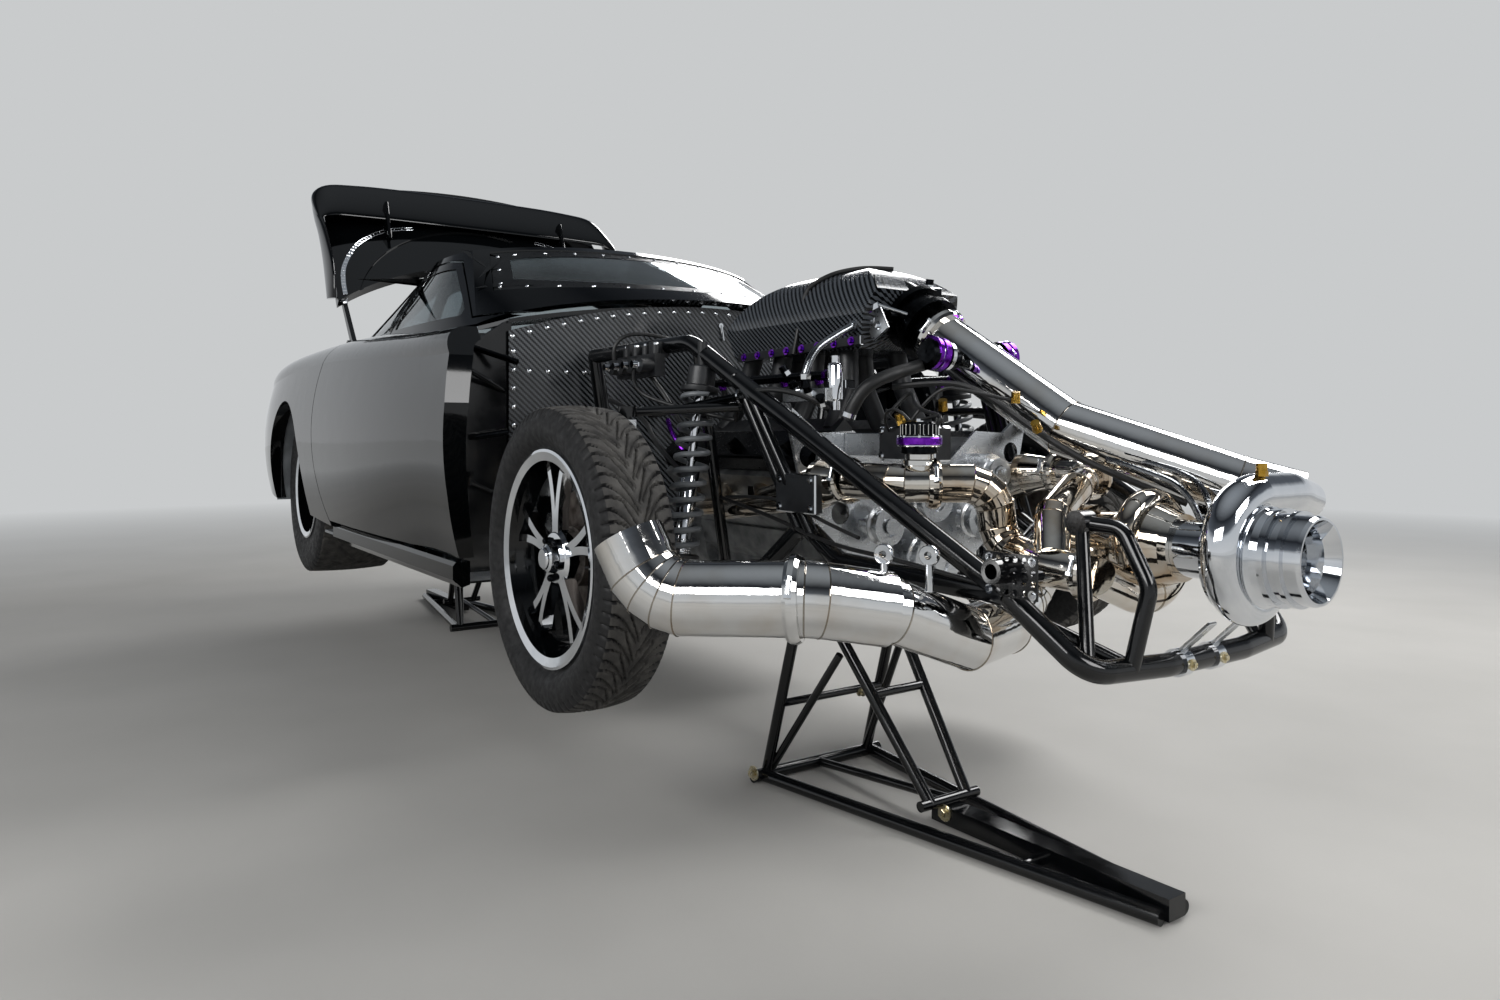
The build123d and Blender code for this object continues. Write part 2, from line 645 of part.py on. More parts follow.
# Chassis rails: bottom rails that kick up over the rear axle, with their cross tubes.
sill_tube_z = floor_low + floor_sheet + seat_gap + cage_tube / 2
cage_half = 600
hoop_x = -1640
halo_half = 455
cross_x = -1300
rear_cross_x = -2060
kick_top = 900
bulkhead_x = -2230
with BuildPart() as chassis_rails:
    for s in sides.values():
        tube(mirrored(spots((rail_joint_x, 330, rail_z), (rear_cross_x, 330, rail_z), (-2330, 330, kick_top),
                            (-2960, 330, kick_top), (-3290, 330, 650)), s), cage_tube, [120, 120, 120])
        tube(mirrored(spots((-2720, 330, kick_top), (-2720, 330, 1000)), s), brace_tube)
    tube(spots((-2720, -330, 1000), (-2720, 330, 1000)), brace_tube)
    tube(spots((-3290, -420, 650), (-3290, 420, 650)), cage_tube + 3)
    for x in (rear_cross_x + 30, cross_x):
        tube(spots((x, -330, rail_z), (x, 330, rail_z)), cage_tube - 3)
chassis_rails.part.label = "chassis_rails"
export_step(chassis_rails.part, "parts/chassis_rails.step")

# Roll cage: hoop, halo, side bars and the struts down to the rails.
with BuildPart() as roll_cage:
    for s in sides.values():
        tube(mirrored(spots((hoop_x, cage_half, sill_tube_z), (hoop_x, cage_half, 1150), (hoop_x, 500, 1440),
                            (hoop_x, 0, 1462)), s), cage_tube, [160, 90])
        tube(mirrored(spots((hoop_x, halo_half, 1446), (-1262, halo_half, 1446), (-962, 565, 1170),
                            (-770, cage_half, sill_tube_z)), s), cage_tube, [90, 90])
        tube(mirrored(spots((-725, cage_half, sill_tube_z), (bulkhead_x + 30, cage_half, sill_tube_z)), s), cage_tube)
        tube(mirrored(spots((hoop_x, cage_half, 1000), (-786, 592, 580)), s), brace_tube)
        tube(mirrored(spots((hoop_x, cage_half, 600), (-870, 588, 860)), s), brace_tube)
        tube(mirrored(spots((hoop_x, 400, 1446), (-2345, 335, kick_top)), s), cage_tube)
    tube(spots((hoop_x, -cage_half, 900), (hoop_x, cage_half, 900)), brace_tube)
    tube(spots((-962, -562, 1160), (-962, 562, 1160)), brace_tube)
    add(chassis_rails.part, mode=Mode.SUBTRACT)
roll_cage.part.label = "roll_cage"
export_step(roll_cage.part, "parts/roll_cage.step")

# Firewall: one curved sheet with an arched top edge and a round hole for the clutch housing.
firewall_half = 640
firewall_bow = 80
firewall_sheet = 5
crank_z = 600
bell_hole = 150
firewall_centre_x = -597
firewall_side_top = 1188
firewall_top = 1287


def firewall_arc(shift):
    return [(firewall_centre_x - firewall_bow - shift, -firewall_half), (firewall_centre_x - shift, 0),
            (firewall_centre_x - firewall_bow - shift, firewall_half)]


with BuildPart() as firewall:
    add(plan_prism([
        firewall_arc(0),
        [firewall_arc(0)[2], firewall_arc(firewall_sheet)[2]],
        firewall_arc(firewall_sheet)[::-1],
        [firewall_arc(firewall_sheet)[0], firewall_arc(0)[0]],
    ], floor_low + floor_sheet + seat_gap, 1400))
    with BuildSketch(Plane.YZ.offset(ahead(-800))):
        with BuildLine():
            edge = ThreePointArc((-firewall_half, firewall_side_top), (0, firewall_top), (firewall_half, firewall_side_top))
            Polyline(edge @ 1, (firewall_half, 400), (-firewall_half, 400), edge @ 0)
        make_face()
    extrude(amount=400, mode=Mode.INTERSECT)
    disc((ahead(firewall_centre_x), 0, crank_z), (1, 0, 0), bell_hole, 200, mode=Mode.SUBTRACT)
firewall.part.label = "firewall"
export_step(firewall.part, "parts/firewall.step")

# Cowl shelf under the windshield and the black hinge pillars with their hinge ears.
pillar_x = -690
pillar_plate = 20
cowl_rear_x = -930
cowl_rise = 62
cowl_side_top = 1222
cowl_thickness = 12
with BuildPart() as cowl_pillars:
    add(plan_prism([
        firewall_arc(firewall_sheet + seat_gap),
        [firewall_arc(firewall_sheet + seat_gap)[2], (cowl_rear_x, firewall_half)],
        [(cowl_rear_x, firewall_half), (cowl_rear_x, -firewall_half)],
        [(cowl_rear_x, -firewall_half), firewall_arc(firewall_sheet + seat_gap)[0]],
    ], 1100, 1400))
    with BuildSketch(Plane.YZ.offset(ahead(-1000))):
        with BuildLine():
            crest = ThreePointArc((-firewall_half, cowl_side_top), (0, cowl_side_top + cowl_rise),
                                  (firewall_half, cowl_side_top))
            under = ThreePointArc((-firewall_half, cowl_side_top - cowl_thickness),
                                  (0, cowl_side_top + cowl_rise - cowl_thickness),
                                  (firewall_half, cowl_side_top - cowl_thickness))
            Line(crest @ 0, under @ 0)
            Line(crest @ 1, under @ 1)
        make_face()
    extrude(amount=500, mode=Mode.INTERSECT)
    for s in sides.values():
        with BuildSketch(Plane.YZ.offset(ahead(pillar_x - pillar_plate))) as plate:
            Polygon(*[(s * y, z) for y, z in (
                (cage_half + 28, floor_low + floor_sheet + seat_gap), (765, floor_low + floor_sheet + seat_gap),
                (765, 600), (808, 780), (814, 930), (795, 1080), (740, 1150), (640, cowl_side_top - 4),
                (cage_half + 28, cowl_side_top - 4))], align=None)
        extrude(plate.sketch, amount=pillar_plate)
        for level in hinge_levels:
            low, high = sorted((s * (hinge_y - hinge_ear), s * (hinge_y + hinge_ear)))
            block((pillar_x - 1, low, level), (hinge_x, high, level + ear_height))
            disc((ahead(hinge_x), s * hinge_y, level + ear_height / 2), (0, 0, 1), hinge_ear, ear_height)
            disc((ahead(hinge_x), s * hinge_y, level + ear_height / 2), (0, 0, 1), hinge_pin + running_gap,
                 ear_height + 4, mode=Mode.SUBTRACT)
            tube(mirrored(spots((pillar_x, 650, level - 40), (hinge_x - 16, hinge_y - 12, level + 10)), s), 16)
    add(roll_cage.part, mode=Mode.SUBTRACT)
cowl_pillars.part.label = "cowl_pillars"
export_step(cowl_pillars.part, "parts/cowl_pillars.step")

# Side skirts under the doors.
skirt_inner = 800
with BuildPart() as side_sills:
    for s in sides.values():
        with BuildSketch(Plane.YZ.offset(ahead(-1878))):
            Polygon(*[(s * y, z) for y, z in ((skirt_inner + seat_gap, 505), (822, 498), (846, 520), (846, 556),
                                              (838, 566), (skirt_inner + seat_gap, 566))], align=None)
        extrude(amount=1340)
side_sills.part.label = "side_sills"
export_step(side_sills.part, "parts/side_sills.step")

# Cabin floor with its tunnel and rear bulkhead.
floor_front_x = -592
tunnel_half = 155
tunnel_top = 640
tub_radius = 381
tub_sheet = 4
tub_inner_y = 440
trunk_floor_z = 760
bulkhead_top = 925


def tunnel_profile(half, low):
    with BuildSketch(Plane.YZ.offset(ahead(bulkhead_x))) as section:
        with BuildLine():
            left = Line((-half, low), (-half, tunnel_top))
            top = RadiusArc(left @ 1, (half, tunnel_top), half)
            Polyline(top @ 1, (half, low), (-half, low))
        make_face()
    return section.sketch


with BuildPart() as floor_pan:
    block((bulkhead_x, -skirt_inner, floor_low), (floor_front_x, skirt_inner, floor_low + floor_sheet))
    extrude(tunnel_profile(tunnel_half, floor_low), amount=firewall_centre_x - 10 - bulkhead_x)
    block((bulkhead_x, -700, floor_low), (bulkhead_x + 6, 700, bulkhead_top))
    extrude(tunnel_profile(tunnel_half - tub_sheet, floor_low - 10), amount=2000, both=True, mode=Mode.SUBTRACT)
    add(body_shell.part, mode=Mode.SUBTRACT)
    add(chassis_rails.part, mode=Mode.SUBTRACT)
    add(roll_cage.part, mode=Mode.SUBTRACT)
floor_pan.part.label = "floor_pan"
export_step(floor_pan.part, "parts/floor_pan.step")

# Trunk floor and the round tubs over the rear tyres.
with BuildPart() as rear_tubs:
    block((-3390, -tub_inner_y, trunk_floor_z - 6), (bulkhead_x - seat_gap, tub_inner_y, trunk_floor_z))
    block((-3390, -680, trunk_floor_z - 6), (arch_x - tub_radius, 680, trunk_floor_z))
    for s in sides.values():
        low, high = sorted((s * tub_inner_y, s * 845))
        middle = (low + high) / 2
        disc((ahead(arch_x), middle, rear_axle_z), (0, 1, 0), tub_radius + tub_sheet, high - low)
        disc((ahead(arch_x), s * (tub_inner_y + 4 + 300), rear_axle_z), (0, 1, 0), tub_radius, 600, mode=Mode.SUBTRACT)
        disc((ahead(arch_x), s * tub_inner_y, rear_axle_z), (0, 1, 0), 95, 40, mode=Mode.SUBTRACT)
        low, high = sorted((s * 300, s * 900))
        block((arch_x - 500, low, 100), (arch_x + 500, high, floor_low), mode=Mode.SUBTRACT)
        low, high = sorted((s * 760, s * 900))
        block((arch_x - 500, low, 100), (arch_x + 500, high, 594), mode=Mode.SUBTRACT)
    add(body_shell.part, mode=Mode.SUBTRACT)
    add(chassis_rails.part, mode=Mode.SUBTRACT)
    add(roll_cage.part, mode=Mode.SUBTRACT)
rear_tubs.part.label = "rear_tubs"
export_step(rear_tubs.part, "parts/rear_tubs.step")

# Cabin: one bucket seat, the dash with its pad, the steering wheel on its column.
seat_y = 356
seat_half = 190
seat_x = -1330
seat_floor = floor_low + floor_sheet + seat_gap
with BuildPart() as seat:
    with BuildSketch(Plane.XZ.offset(-(seat_y - seat_half))) as shell:
        with BuildLine():
            Polyline(*[(ahead(x), z) for x, z in (
                (seat_x + 250, seat_floor), (seat_x + 290, 690), (seat_x + 250, 700), (seat_x - 60, 660),
                (seat_x - 90, 700), (seat_x - 240, 1240), (seat_x - 275, 1240), (seat_x - 220, 900),
                (seat_x - 170, 640), (seat_x - 130, seat_floor))], close=True)
        make_face()
    extrude(shell.sketch, amount=-2 * seat_half)
    with BuildSketch(Plane.XZ.offset(-seat_y)) as hollow:
        with BuildLine():
            Polyline(*[(ahead(x), z) for x, z in (
                (seat_x + 300, 655), (seat_x - 30, 625), (seat_x - 110, 700), (seat_x - 230, 1250),
                (seat_x - 100, 1300), (seat_x + 300, 900))], close=True)
        make_face()
    extrude(hollow.sketch, amount=seat_half - 28, both=True, mode=Mode.SUBTRACT)
seat.part.label = "seat"
export_step(seat.part, "parts/seat.step")

dash_x = -975
with BuildPart() as dash_panel:
    with BuildSketch(Plane.XZ.offset(540)) as section:
        with BuildLine():
            Polyline(*[(ahead(x), z) for x, z in ((dash_x - 20, 1130), (dash_x + 60, 1180), (dash_x + 190, 1180),
                                                  (dash_x + 190, 1168), (dash_x + 66, 1168), (dash_x, 1122),
                                                  (dash_x - 30, 1000), (dash_x - 42, 1000))], close=True)
        make_face()
    extrude(section.sketch, amount=-1080)
    add(roll_cage.part, mode=Mode.SUBTRACT)
    add(cowl_pillars.part, mode=Mode.SUBTRACT)
dash_panel.part.label = "dash_panel"
export_step(dash_panel.part, "parts/dash_panel.step")

wheel_hub = (-1130, seat_y, 1030)
column_direction = (-0.94, 0, 0.34)
with BuildPart() as steering_wheel:
    hub_place = (ahead(wheel_hub[0]), wheel_hub[1], wheel_hub[2])
    with BuildPart(mode=Mode.PRIVATE) as rim_ring:
        Torus(145, 14)
    wheel_plane = Plane(origin=hub_place, z_dir=column_direction)
    add(wheel_plane.location * rim_ring.part)
    disc(hub_place, column_direction, 40, 14)
    for turn in (90, 210, 330):
        spoke_end = wheel_plane.from_local_coords(Vector(145, 0, 0).rotate(Axis.Z, turn))
        tube([hub_place, tuple(spoke_end)], 16)
    column_end = Vector(*hub_place) - Vector(*column_direction) * 172
    tube([hub_place, tuple(column_end)], 34)
    add(dash_panel.part, mode=Mode.SUBTRACT)
steering_wheel.part.label = "steering_wheel"
export_step(steering_wheel.part, "parts/steering_wheel.step")

# Engine: a V8 block with two banks at ninety degrees, its heads and covers, one closed mass.
block_rear = -420
block_front = 280
deck_reach = 235              # from the crank to the face of each bank
deck_half_width = 75
head_height = 108
cover_height = 46
root_half = sin(radians(45))


def bank_points(side, profile):
    # profile points are (along the bank's axis, across it); the result is (y, z) in the car
    return [(side * (r + c) * root_half, crank_z + (r - c) * root_half) for r, c in profile]


def bank_solid(side, profile, rear, front, corner=0):
    with BuildSketch(Plane.YZ.offset(ahead(rear))) as section:
        Polygon(*bank_points(side, profile), align=None)
        if corner:
            fillet(section.vertices(), corner)
    extrude(section.sketch, amount=front - rear)


with BuildPart() as engine_block:
    with BuildSketch(Plane.YZ.offset(ahead(block_rear))) as section:
        Polygon(*[(y, z) for y, z in ((-110, 562), (110, 562), (150, 590), (165, 650), (0, 790), (-165, 650),
                                      (-150, 590))], align=None)
    extrude(section.sketch, amount=block_front - block_rear)
    for s in sides.values():
        bank_solid(s, [(60, -deck_half_width), (deck_reach, -deck_half_width), (deck_reach, deck_half_width),
                       (60, deck_half_width)], block_rear, block_front)
    block((block_rear, -110, 515), (0, 110, 570))
engine_block.part.label = "engine_block"
export_step(engine_block.part, "parts/engine_block.step")

with BuildPart() as cylinder_heads:
    for s in sides.values():
        bank_solid(s, [(deck_reach + seat_gap, -deck_half_width), (deck_reach + head_height, -deck_half_width + 8),
                       (deck_reach + head_height, deck_half_width - 8), (deck_reach + seat_gap, deck_half_width)],
                   block_rear + 15, block_front - 15)
cylinder_heads.part.label = "cylinder_heads"
export_step(cylinder_heads.part, "parts/cylinder_heads.step")

cover_base = deck_reach + head_height + seat_gap
with BuildPart() as valve_covers:
    for s in sides.values():
        bank_solid(s, [(cover_base, -56), (cover_base + cover_height, -46), (cover_base + cover_height, 46),
                       (cover_base, 56)], block_rear + 25, block_front - 25, corner=9)
        for x in (-300, -70, 160):
            centre = bank_points(s, [(cover_base + cover_height + 10, 12)])[0]
            disc((ahead(x), centre[0], centre[1]), (0, s, 1), 17, 30)
valve_covers.part.label = "valve_covers"
export_step(valve_covers.part, "parts/valve_covers.step")

# Motor plate across the front of the block, carried between the side frames.
plate_thickness = 8
plate_rear = block_front + seat_gap
with BuildPart() as motor_plate:
    with BuildSketch(Plane.YZ.offset(ahead(plate_rear))) as outline:
        Polygon(*[(s * y, z) for s, row in (
            (1, ((120, 545), (250, 640), (332, 690), (340, 740), (384, 915), (376, 955), (300, 900), (200, 905),
                 (110, 835))),
            (-1, ((110, 835), (200, 905), (300, 900), (376, 955), (384, 915), (340, 740), (332, 690), (250, 640),
                  (120, 545)))) for y, z in row], align=None)
        for s in sides.values():
            with Locations((s * 285, 800), (s * 330, 850), (s * 240, 720)):
                Circle(26, mode=Mode.SUBTRACT)
        with Locations((0, crank_z)):
            Circle(30, mode=Mode.SUBTRACT)
    extrude(outline.sketch, amount=plate_thickness)
    add(front_frame.part, mode=Mode.SUBTRACT)
motor_plate.part.label = "motor_plate"
export_step(motor_plate.part, "parts/motor_plate.step")

# Front drive: crank pulley, pumps and idlers on short snouts from the plate, with the belt round them.
plate_front = plate_rear + plate_thickness + seat_gap
# columns: y, z, radius, snout radius
pulley_table = [(0, crank_z, 72, 40), (0, 745, 52, 20), (150, 690, 44, 24), (-150, 690, 44, 24), (-215, 800, 38, 30),
                (215, 800, 38, 30)]
with BuildPart() as front_drive:
    for y, z, radius, snout in pulley_table:
        turned((ahead(plate_front), y, z), (1, 0, 0), [
            (0, 0), (0, snout), (34, snout), (34, radius), (38, radius), (42, radius - 6), (58, radius - 6),
            (62, radius), (66, radius), (66, radius * 0.55), (60, radius * 0.5), (60, 18), (74, 18), (74, 0)])
    for s in sides.values():
        disc((ahead(plate_front + 20), s * 215, 800), (1, 0, 0), 48, 40)
front_drive.part.label = "front_drive"
export_step(front_drive.part, "parts/front_drive.step")

# Intake: a domed plenum on eight runners.
plenum_rear = -310
plenum_front = 262
plenum_low = 1100
with BuildPart() as intake_manifold:
    with BuildSketch(Plane.YZ.offset(ahead(plenum_rear - 40))) as section:
        with BuildLine():
            Polyline((-150, 1180), (-128, plenum_low), (128, plenum_low), (150, 1180))
            ThreePointArc((150, 1180), (0, 1312), (-150, 1180))
        make_face()
    extrude(section.sketch, amount=plenum_front - plenum_rear + 80)
    add(side_prism([
        [(plenum_rear + 20, plenum_low - 20), (plenum_rear, 1180)],
        [(plenum_rear, 1180), (-200, 1272), (-20, 1306)],
        [(-20, 1306), (190, 1296), (plenum_front + 30, 1236)],
        [(plenum_front + 30, 1236), (plenum_front - 45, plenum_low - 20)],
        [(plenum_front - 45, plenum_low - 20), (plenum_rear + 20, plenum_low - 20)],
    ], -300, 300), mode=Mode.INTERSECT)
    for s in sides.values():
        for x in (-320, -160, 0, 150):
            tube(mirrored(spots((x * 0.85, 80, plenum_low + 10), (x * 0.95, 92, 1010), (x, 148, 905)), s), 50, 90)
    for s in sides.values():
        bank_solid(s, [(deck_reach + 30, -deck_half_width - 8), (deck_reach + head_height - 4, -deck_half_width - 8),
                       (deck_reach + head_height - 4, -deck_half_width - 60), (deck_reach + 70, -deck_half_width - 60)],
                   -350, 190)
    add(cylinder_heads.part, mode=Mode.SUBTRACT)
    add(valve_covers.part, mode=Mode.SUBTRACT)
intake_manifold.part.label = "intake_manifold"
export_step(intake_manifold.part, "parts/intake_manifold.step")

# Throttle body between the plenum and the charge pipe.
throttle_direction = (0.84, 0, -0.54)
throttle_length = 96
with BuildPart() as throttle_body:
    start = Vector(ahead(350), 0, 1130) - Vector(*throttle_direction) * (throttle_length + 18)
    turned(tuple(start), throttle_direction, [
        (-40, 0), (-40, 62), (18, 66), (18, 80), (34, 80), (34, 68), (74, 68), (74, 78), (92, 78), (92, 57),
        (throttle_length + 18 - seat_gap, 57), (throttle_length + 18 - seat_gap, 50), (60, 46), (60, 0)])
    disc((ahead(286), 0, 1172), (0, 1, 0), 14, 190)
    add(intake_manifold.part, mode=Mode.SUBTRACT)
throttle_body.part.label = "throttle_body"
export_step(throttle_body.part, "parts/throttle_body.step")

# Exhaust headers: four primaries a side gathered in a two-by-two bundle, then the collector and clamp.
primary = 44
bundle = ((-23, -23), (23, -23), (-23, 23), (23, 23))
port_x = (-330, -165, -5, 150)
port_y = 262
port_z = 752
with BuildPart() as exhaust_manifolds:
    for s in sides.values():
        for x, (across, up) in zip(port_x, bundle):
            tube(mirrored(spots((x, port_y - 14, port_z + 14), (x + 70, 300 + across * 0.4, 725 + up),
                                (290, 324 + across, 774 + up), (350, 326 + across * 0.8, 790 + up * 0.8)), s),
                 primary, [40, 60])
            block((x - 34, min(s * (port_y - 22), s * (port_y + 4)), port_z - 30),
                  (x + 34, max(s * (port_y - 22), s * (port_y + 4)), port_z + 34))
        turned((ahead(330), s * 322, 796), (70, s * 8, 4), [(0, 0), (0, 50), (20, 50), (76, 40), (96, 38), (96, 0)])
        clamp_ring((ahead(425), s * 333, 801.4), (70, s * 8, 4), 38)
    add(cylinder_heads.part, mode=Mode.SUBTRACT)
    add(engine_block.part, mode=Mode.SUBTRACT)
    add(motor_plate.part, mode=Mode.SUBTRACT)
    add(front_frame.part, mode=Mode.SUBTRACT)
    add(front_drive.part, mode=Mode.SUBTRACT)
    add(valve_covers.part, mode=Mode.SUBTRACT)
exhaust_manifolds.part.label = "exhaust_manifolds"
export_step(exhaust_manifolds.part, "parts/exhaust_manifolds.step")

# Turbocharger on the centreline ahead of the engine, its axis along X.
turbo_z = 690
compressor_x = 1100
turbine_x = 900
mouth_x = nose_reach


def volute(x, inner, small, large, start, sweep, steps=7):
    # a scroll whose round section grows as it goes round the shaft; returns its last place
    sections = []
    for k in range(steps):
        share = k / (steps - 1)
        r = small + (large - small) * share
        angle = radians(start - sweep * share)
        centre = (ahead(x), (inner + r) * cos(angle), turbo_z + (inner + r) * sin(angle))
        with BuildSketch(Plane(origin=centre, x_dir=(1, 0, 0), z_dir=(0, sin(angle), -cos(angle)))) as section:
            Circle(r)
        sections.append(section.sketch)
    loft(sections)
    return centre


wheel_radius = 49
wheel_rear = 1086
wheel_front = 1150
wheel_tip_gap = 1.2
outlet_radius = 37
with BuildPart() as compressor_housing:
    outlet = volute(compressor_x, 66, 20, outlet_radius, 55, 325)
    tube([outlet, (outlet[0], 120, outlet[2]), (ahead(1086), 203, 777)], 2 * outlet_radius, 80)
    turned((0, 0, turbo_z), (1, 0, 0), [
        (ahead(1062), 40), (ahead(1062), 104), (ahead(1078), 108), (ahead(1120), 96), (ahead(1136), 82),
        (ahead(1150), 76), (ahead(1150), 84), (ahead(1160), 84), (ahead(1160), 76), (ahead(1178), 75),
        (ahead(1178), 81), (ahead(1186), 81), (ahead(1186), 75), (ahead(mouth_x - 6), 75), (ahead(mouth_x), 72),
        (ahead(mouth_x), 68), (ahead(mouth_x - 24), 58), (ahead(1165), 53), (ahead(1140), 50.2),
        (ahead(wheel_rear + 6), wheel_radius + wheel_tip_gap), (ahead(wheel_rear + 2), 80),
        (ahead(wheel_rear - 3), 80), (ahead(wheel_rear - 3), 40)])
    disc((ahead(1020), 0, turbo_z), (1, 0, 0), 52, 90)
    disc((ahead(1074), 0, turbo_z), (1, 0, 0), 60, 18)
    disc((ahead(1025), 0, turbo_z + 42), (0, 0, 1), 16, 40)
    disc((ahead(1116), 0, turbo_z), (1, 0, 0), 6, 80)
compressor_housing.part.label = "compressor_housing"
export_step(compressor_housing.part, "parts/compressor_housing.step")

# Charge pipe from the compressor to the throttle body.
charge_radius = 59
charge_route = [(350, 0, 1130), (690, 30, 910), (990, 150, 800), (1075, 203, 772)]
with BuildPart() as charge_pipe:
    pie_pipe(spots(*charge_route), 2 * charge_radius, 150)
    clamp_ring((ahead(352) + 14 * 0.84, 0, 1130 - 14 * 0.54 - 1), (340, 30, -220), charge_radius + 1)
    add(compressor_housing.part, mode=Mode.SUBTRACT)
    add(throttle_body.part, mode=Mode.SUBTRACT)
charge_pipe.part.label = "charge_pipe"
export_step(charge_pipe.part, "parts/charge_pipe.step")

# Compressor wheel: a flared hub and seven full blades between seven short ones.
blade_count = 7
blade_thickness = 2.2
blade_twist = 42
hub_nose = 14


def blade(turn, front_x):
    sections = []
    for x, lean, inner, outer in ((front_x, blade_twist, hub_nose - 2, 47.5), (1118, blade_twist * 0.35, 18, 48),
                                  (wheel_rear + 4, 0, 30, wheel_radius)):
        plane = Plane(origin=(ahead(x), 0, turbo_z), x_dir=Vector(0, 1, 0).rotate(Axis.X, turn + lean), z_dir=(1, 0, 0))
        with BuildSketch(plane) as section:
            with Locations(((inner + outer) / 2, 0)):
                Rectangle(outer - inner, blade_thickness)
        sections.append(section.sketch)
    loft(sections, ruled=True)


with BuildPart() as compressor_wheel:
    turned((0, 0, turbo_z), (1, 0, 0), [
        (ahead(wheel_rear), 6 + running_gap), (ahead(wheel_rear), wheel_radius), (ahead(wheel_rear + 4), wheel_radius),
        (ahead(wheel_rear + 12), 34), (ahead(wheel_rear + 26), 22), (ahead(wheel_front - 12), hub_nose),
        (ahead(wheel_front + 4), 10), (ahead(wheel_front + 4), 6 + running_gap)])
    for k in range(blade_count):
        blade(k * 360 / blade_count, wheel_front - 4)
        blade((k + 0.5) * 360 / blade_count, wheel_front - 22)
compressor_wheel.part.label = "compressor_wheel"
export_step(compressor_wheel.part, "parts/compressor_wheel.step")

turbine_outlet_x = 780
with BuildPart() as turbine_housing:
    inlet = volute(turbine_x, 52, 20, 38, 200, 290)
    turned((0, 0, turbo_z), (1, 0, 0), [
        (ahead(975 - seat_gap), 20), (ahead(975 - seat_gap), 62), (ahead(960), 66), (ahead(930), 78),
        (ahead(870), 70), (ahead(846), 58), (ahead(turbine_outlet_x + 10), 56), (ahead(turbine_outlet_x + 10), 68),
        (ahead(turbine_outlet_x), 68), (ahead(turbine_outlet_x), 44), (ahead(880), 40), (ahead(880), 20)])
    inlet_end = (ahead(turbine_x - 8), -140, 640)
    tube([inlet, (inlet[0], inlet[1] - 40, inlet[2]), inlet_end], 72, 50)
    add(compressor_housing.part, mode=Mode.SUBTRACT)
turbine_housing.part.label = "turbine_housing"
export_step(turbine_housing.part, "parts/turbine_housing.step")

# Hot pipes: mitred stainless runs from both collectors to the turbine's clamped inlet.
hot_diameter = 76
with BuildPart() as hot_pipes:
    pie_pipe(spots((436, -334, 802), (560, -318, 800), (670, -170, 800), (672, -150, 672), (800, -165, 650),
                   (turbine_x - 12, -150, 643)), hot_diameter, 62, wedge=22)
    pie_pipe(spots((436, 334, 802), (560, 318, 800), (640, 150, 792), (735, 0, 786), (775, -120, 740),
                   (810, -165, 668)), hot_diameter - 8, 62, wedge=22)
    clamp_ring((ahead(turbine_x - 22), -150, 643), (1, 0, -0.04), 40)
    clamp_ring((ahead(600), -264, 800), (110, 148, 0), 40)
    clamp_ring((ahead(606), 226, 796), (80, -168, 0), 36)
    add(exhaust_manifolds.part, mode=Mode.SUBTRACT)
    add(front_frame.part, mode=Mode.SUBTRACT)
    add(turbine_housing.part, mode=Mode.SUBTRACT)
    add(compressor_housing.part, mode=Mode.SUBTRACT)
hot_pipes.part.label = "hot_pipes"
export_step(hot_pipes.part, "parts/hot_pipes.step")

# Wastegates stand on the hot pipes: clamp, body, coloured ring and black cap.
with BuildPart() as wastegates:
    for s in sides.values():
        turned((ahead(585), s * 286, 815), (0, 0, 1), [
            (0, 0), (0, 27), (26, 27), (26, 35), (36, 35), (36, 28), (58, 30), (62, 44), (76, 44), (78, 40),
            (84, 40), (86, 45), (98, 45), (112, 30), (116, 12), (116, 0)])
    add(hot_pipes.part, mode=Mode.SUBTRACT)
wastegates.part.label = "wastegates"
export_step(wastegates.part, "parts/wastegates.step")

# Blow-off valves stand out on both sides of the charge pipe.
with BuildPart() as blow_off_valves:
    for s in sides.values():
        turned((ahead(452), s * 30, 1064), (0, s, 0.12), [
            (0, 0), (0, 24), (44, 24), (44, 34), (54, 34), (56, 28), (64, 28), (64, 38), (78, 38), (80, 33),
            (86, 33), (86, 38), (96, 38), (106, 26), (108, 0)])
    add(charge_pipe.part, mode=Mode.SUBTRACT)
blow_off_valves.part.label = "blow_off_valves"
export_step(blow_off_valves.part, "parts/blow_off_valves.step")

# Exhaust: out of the turbine, down and under the right rail, then out to the open tip by the wheel.
exhaust_diameter = 130
outlet_clamp_x = turbine_outlet_x - seat_gap
with BuildPart() as exhaust_pipe:
    pie_pipe([(outlet_clamp_x + front_axle_x, 0, turbo_z)] + spots(
        (680, 0, 690), (650, -70, 560), (730, -210, 535), (765, -345, 532), (745, -500, 592), (692, -645, 620),
    ), 112, 70, wedge=22)
    pie_pipe(spots((740, -515, 597), (694, -640, 620), (490, -830, 612), (437, -855, 716)), exhaust_diameter, 105)
    disc((ahead(outlet_clamp_x - 8), 0, turbo_z), (1, 0, 0), 68, 16)
    clamp_ring((ahead(672), -661, 619), (-204, -190, -8), exhaust_diameter / 2)
    add(front_frame.part, mode=Mode.SUBTRACT)
    add(hot_pipes.part, mode=Mode.SUBTRACT)
    with BuildSketch(Plane(origin=(ahead(437), -855, 716), z_dir=(53, 25, -104))) as mouth:
        Circle(exhaust_diameter / 2 - 4)
    extrude(mouth.sketch, amount=62, mode=Mode.SUBTRACT)
exhaust_pipe.part.label = "exhaust_pipe"
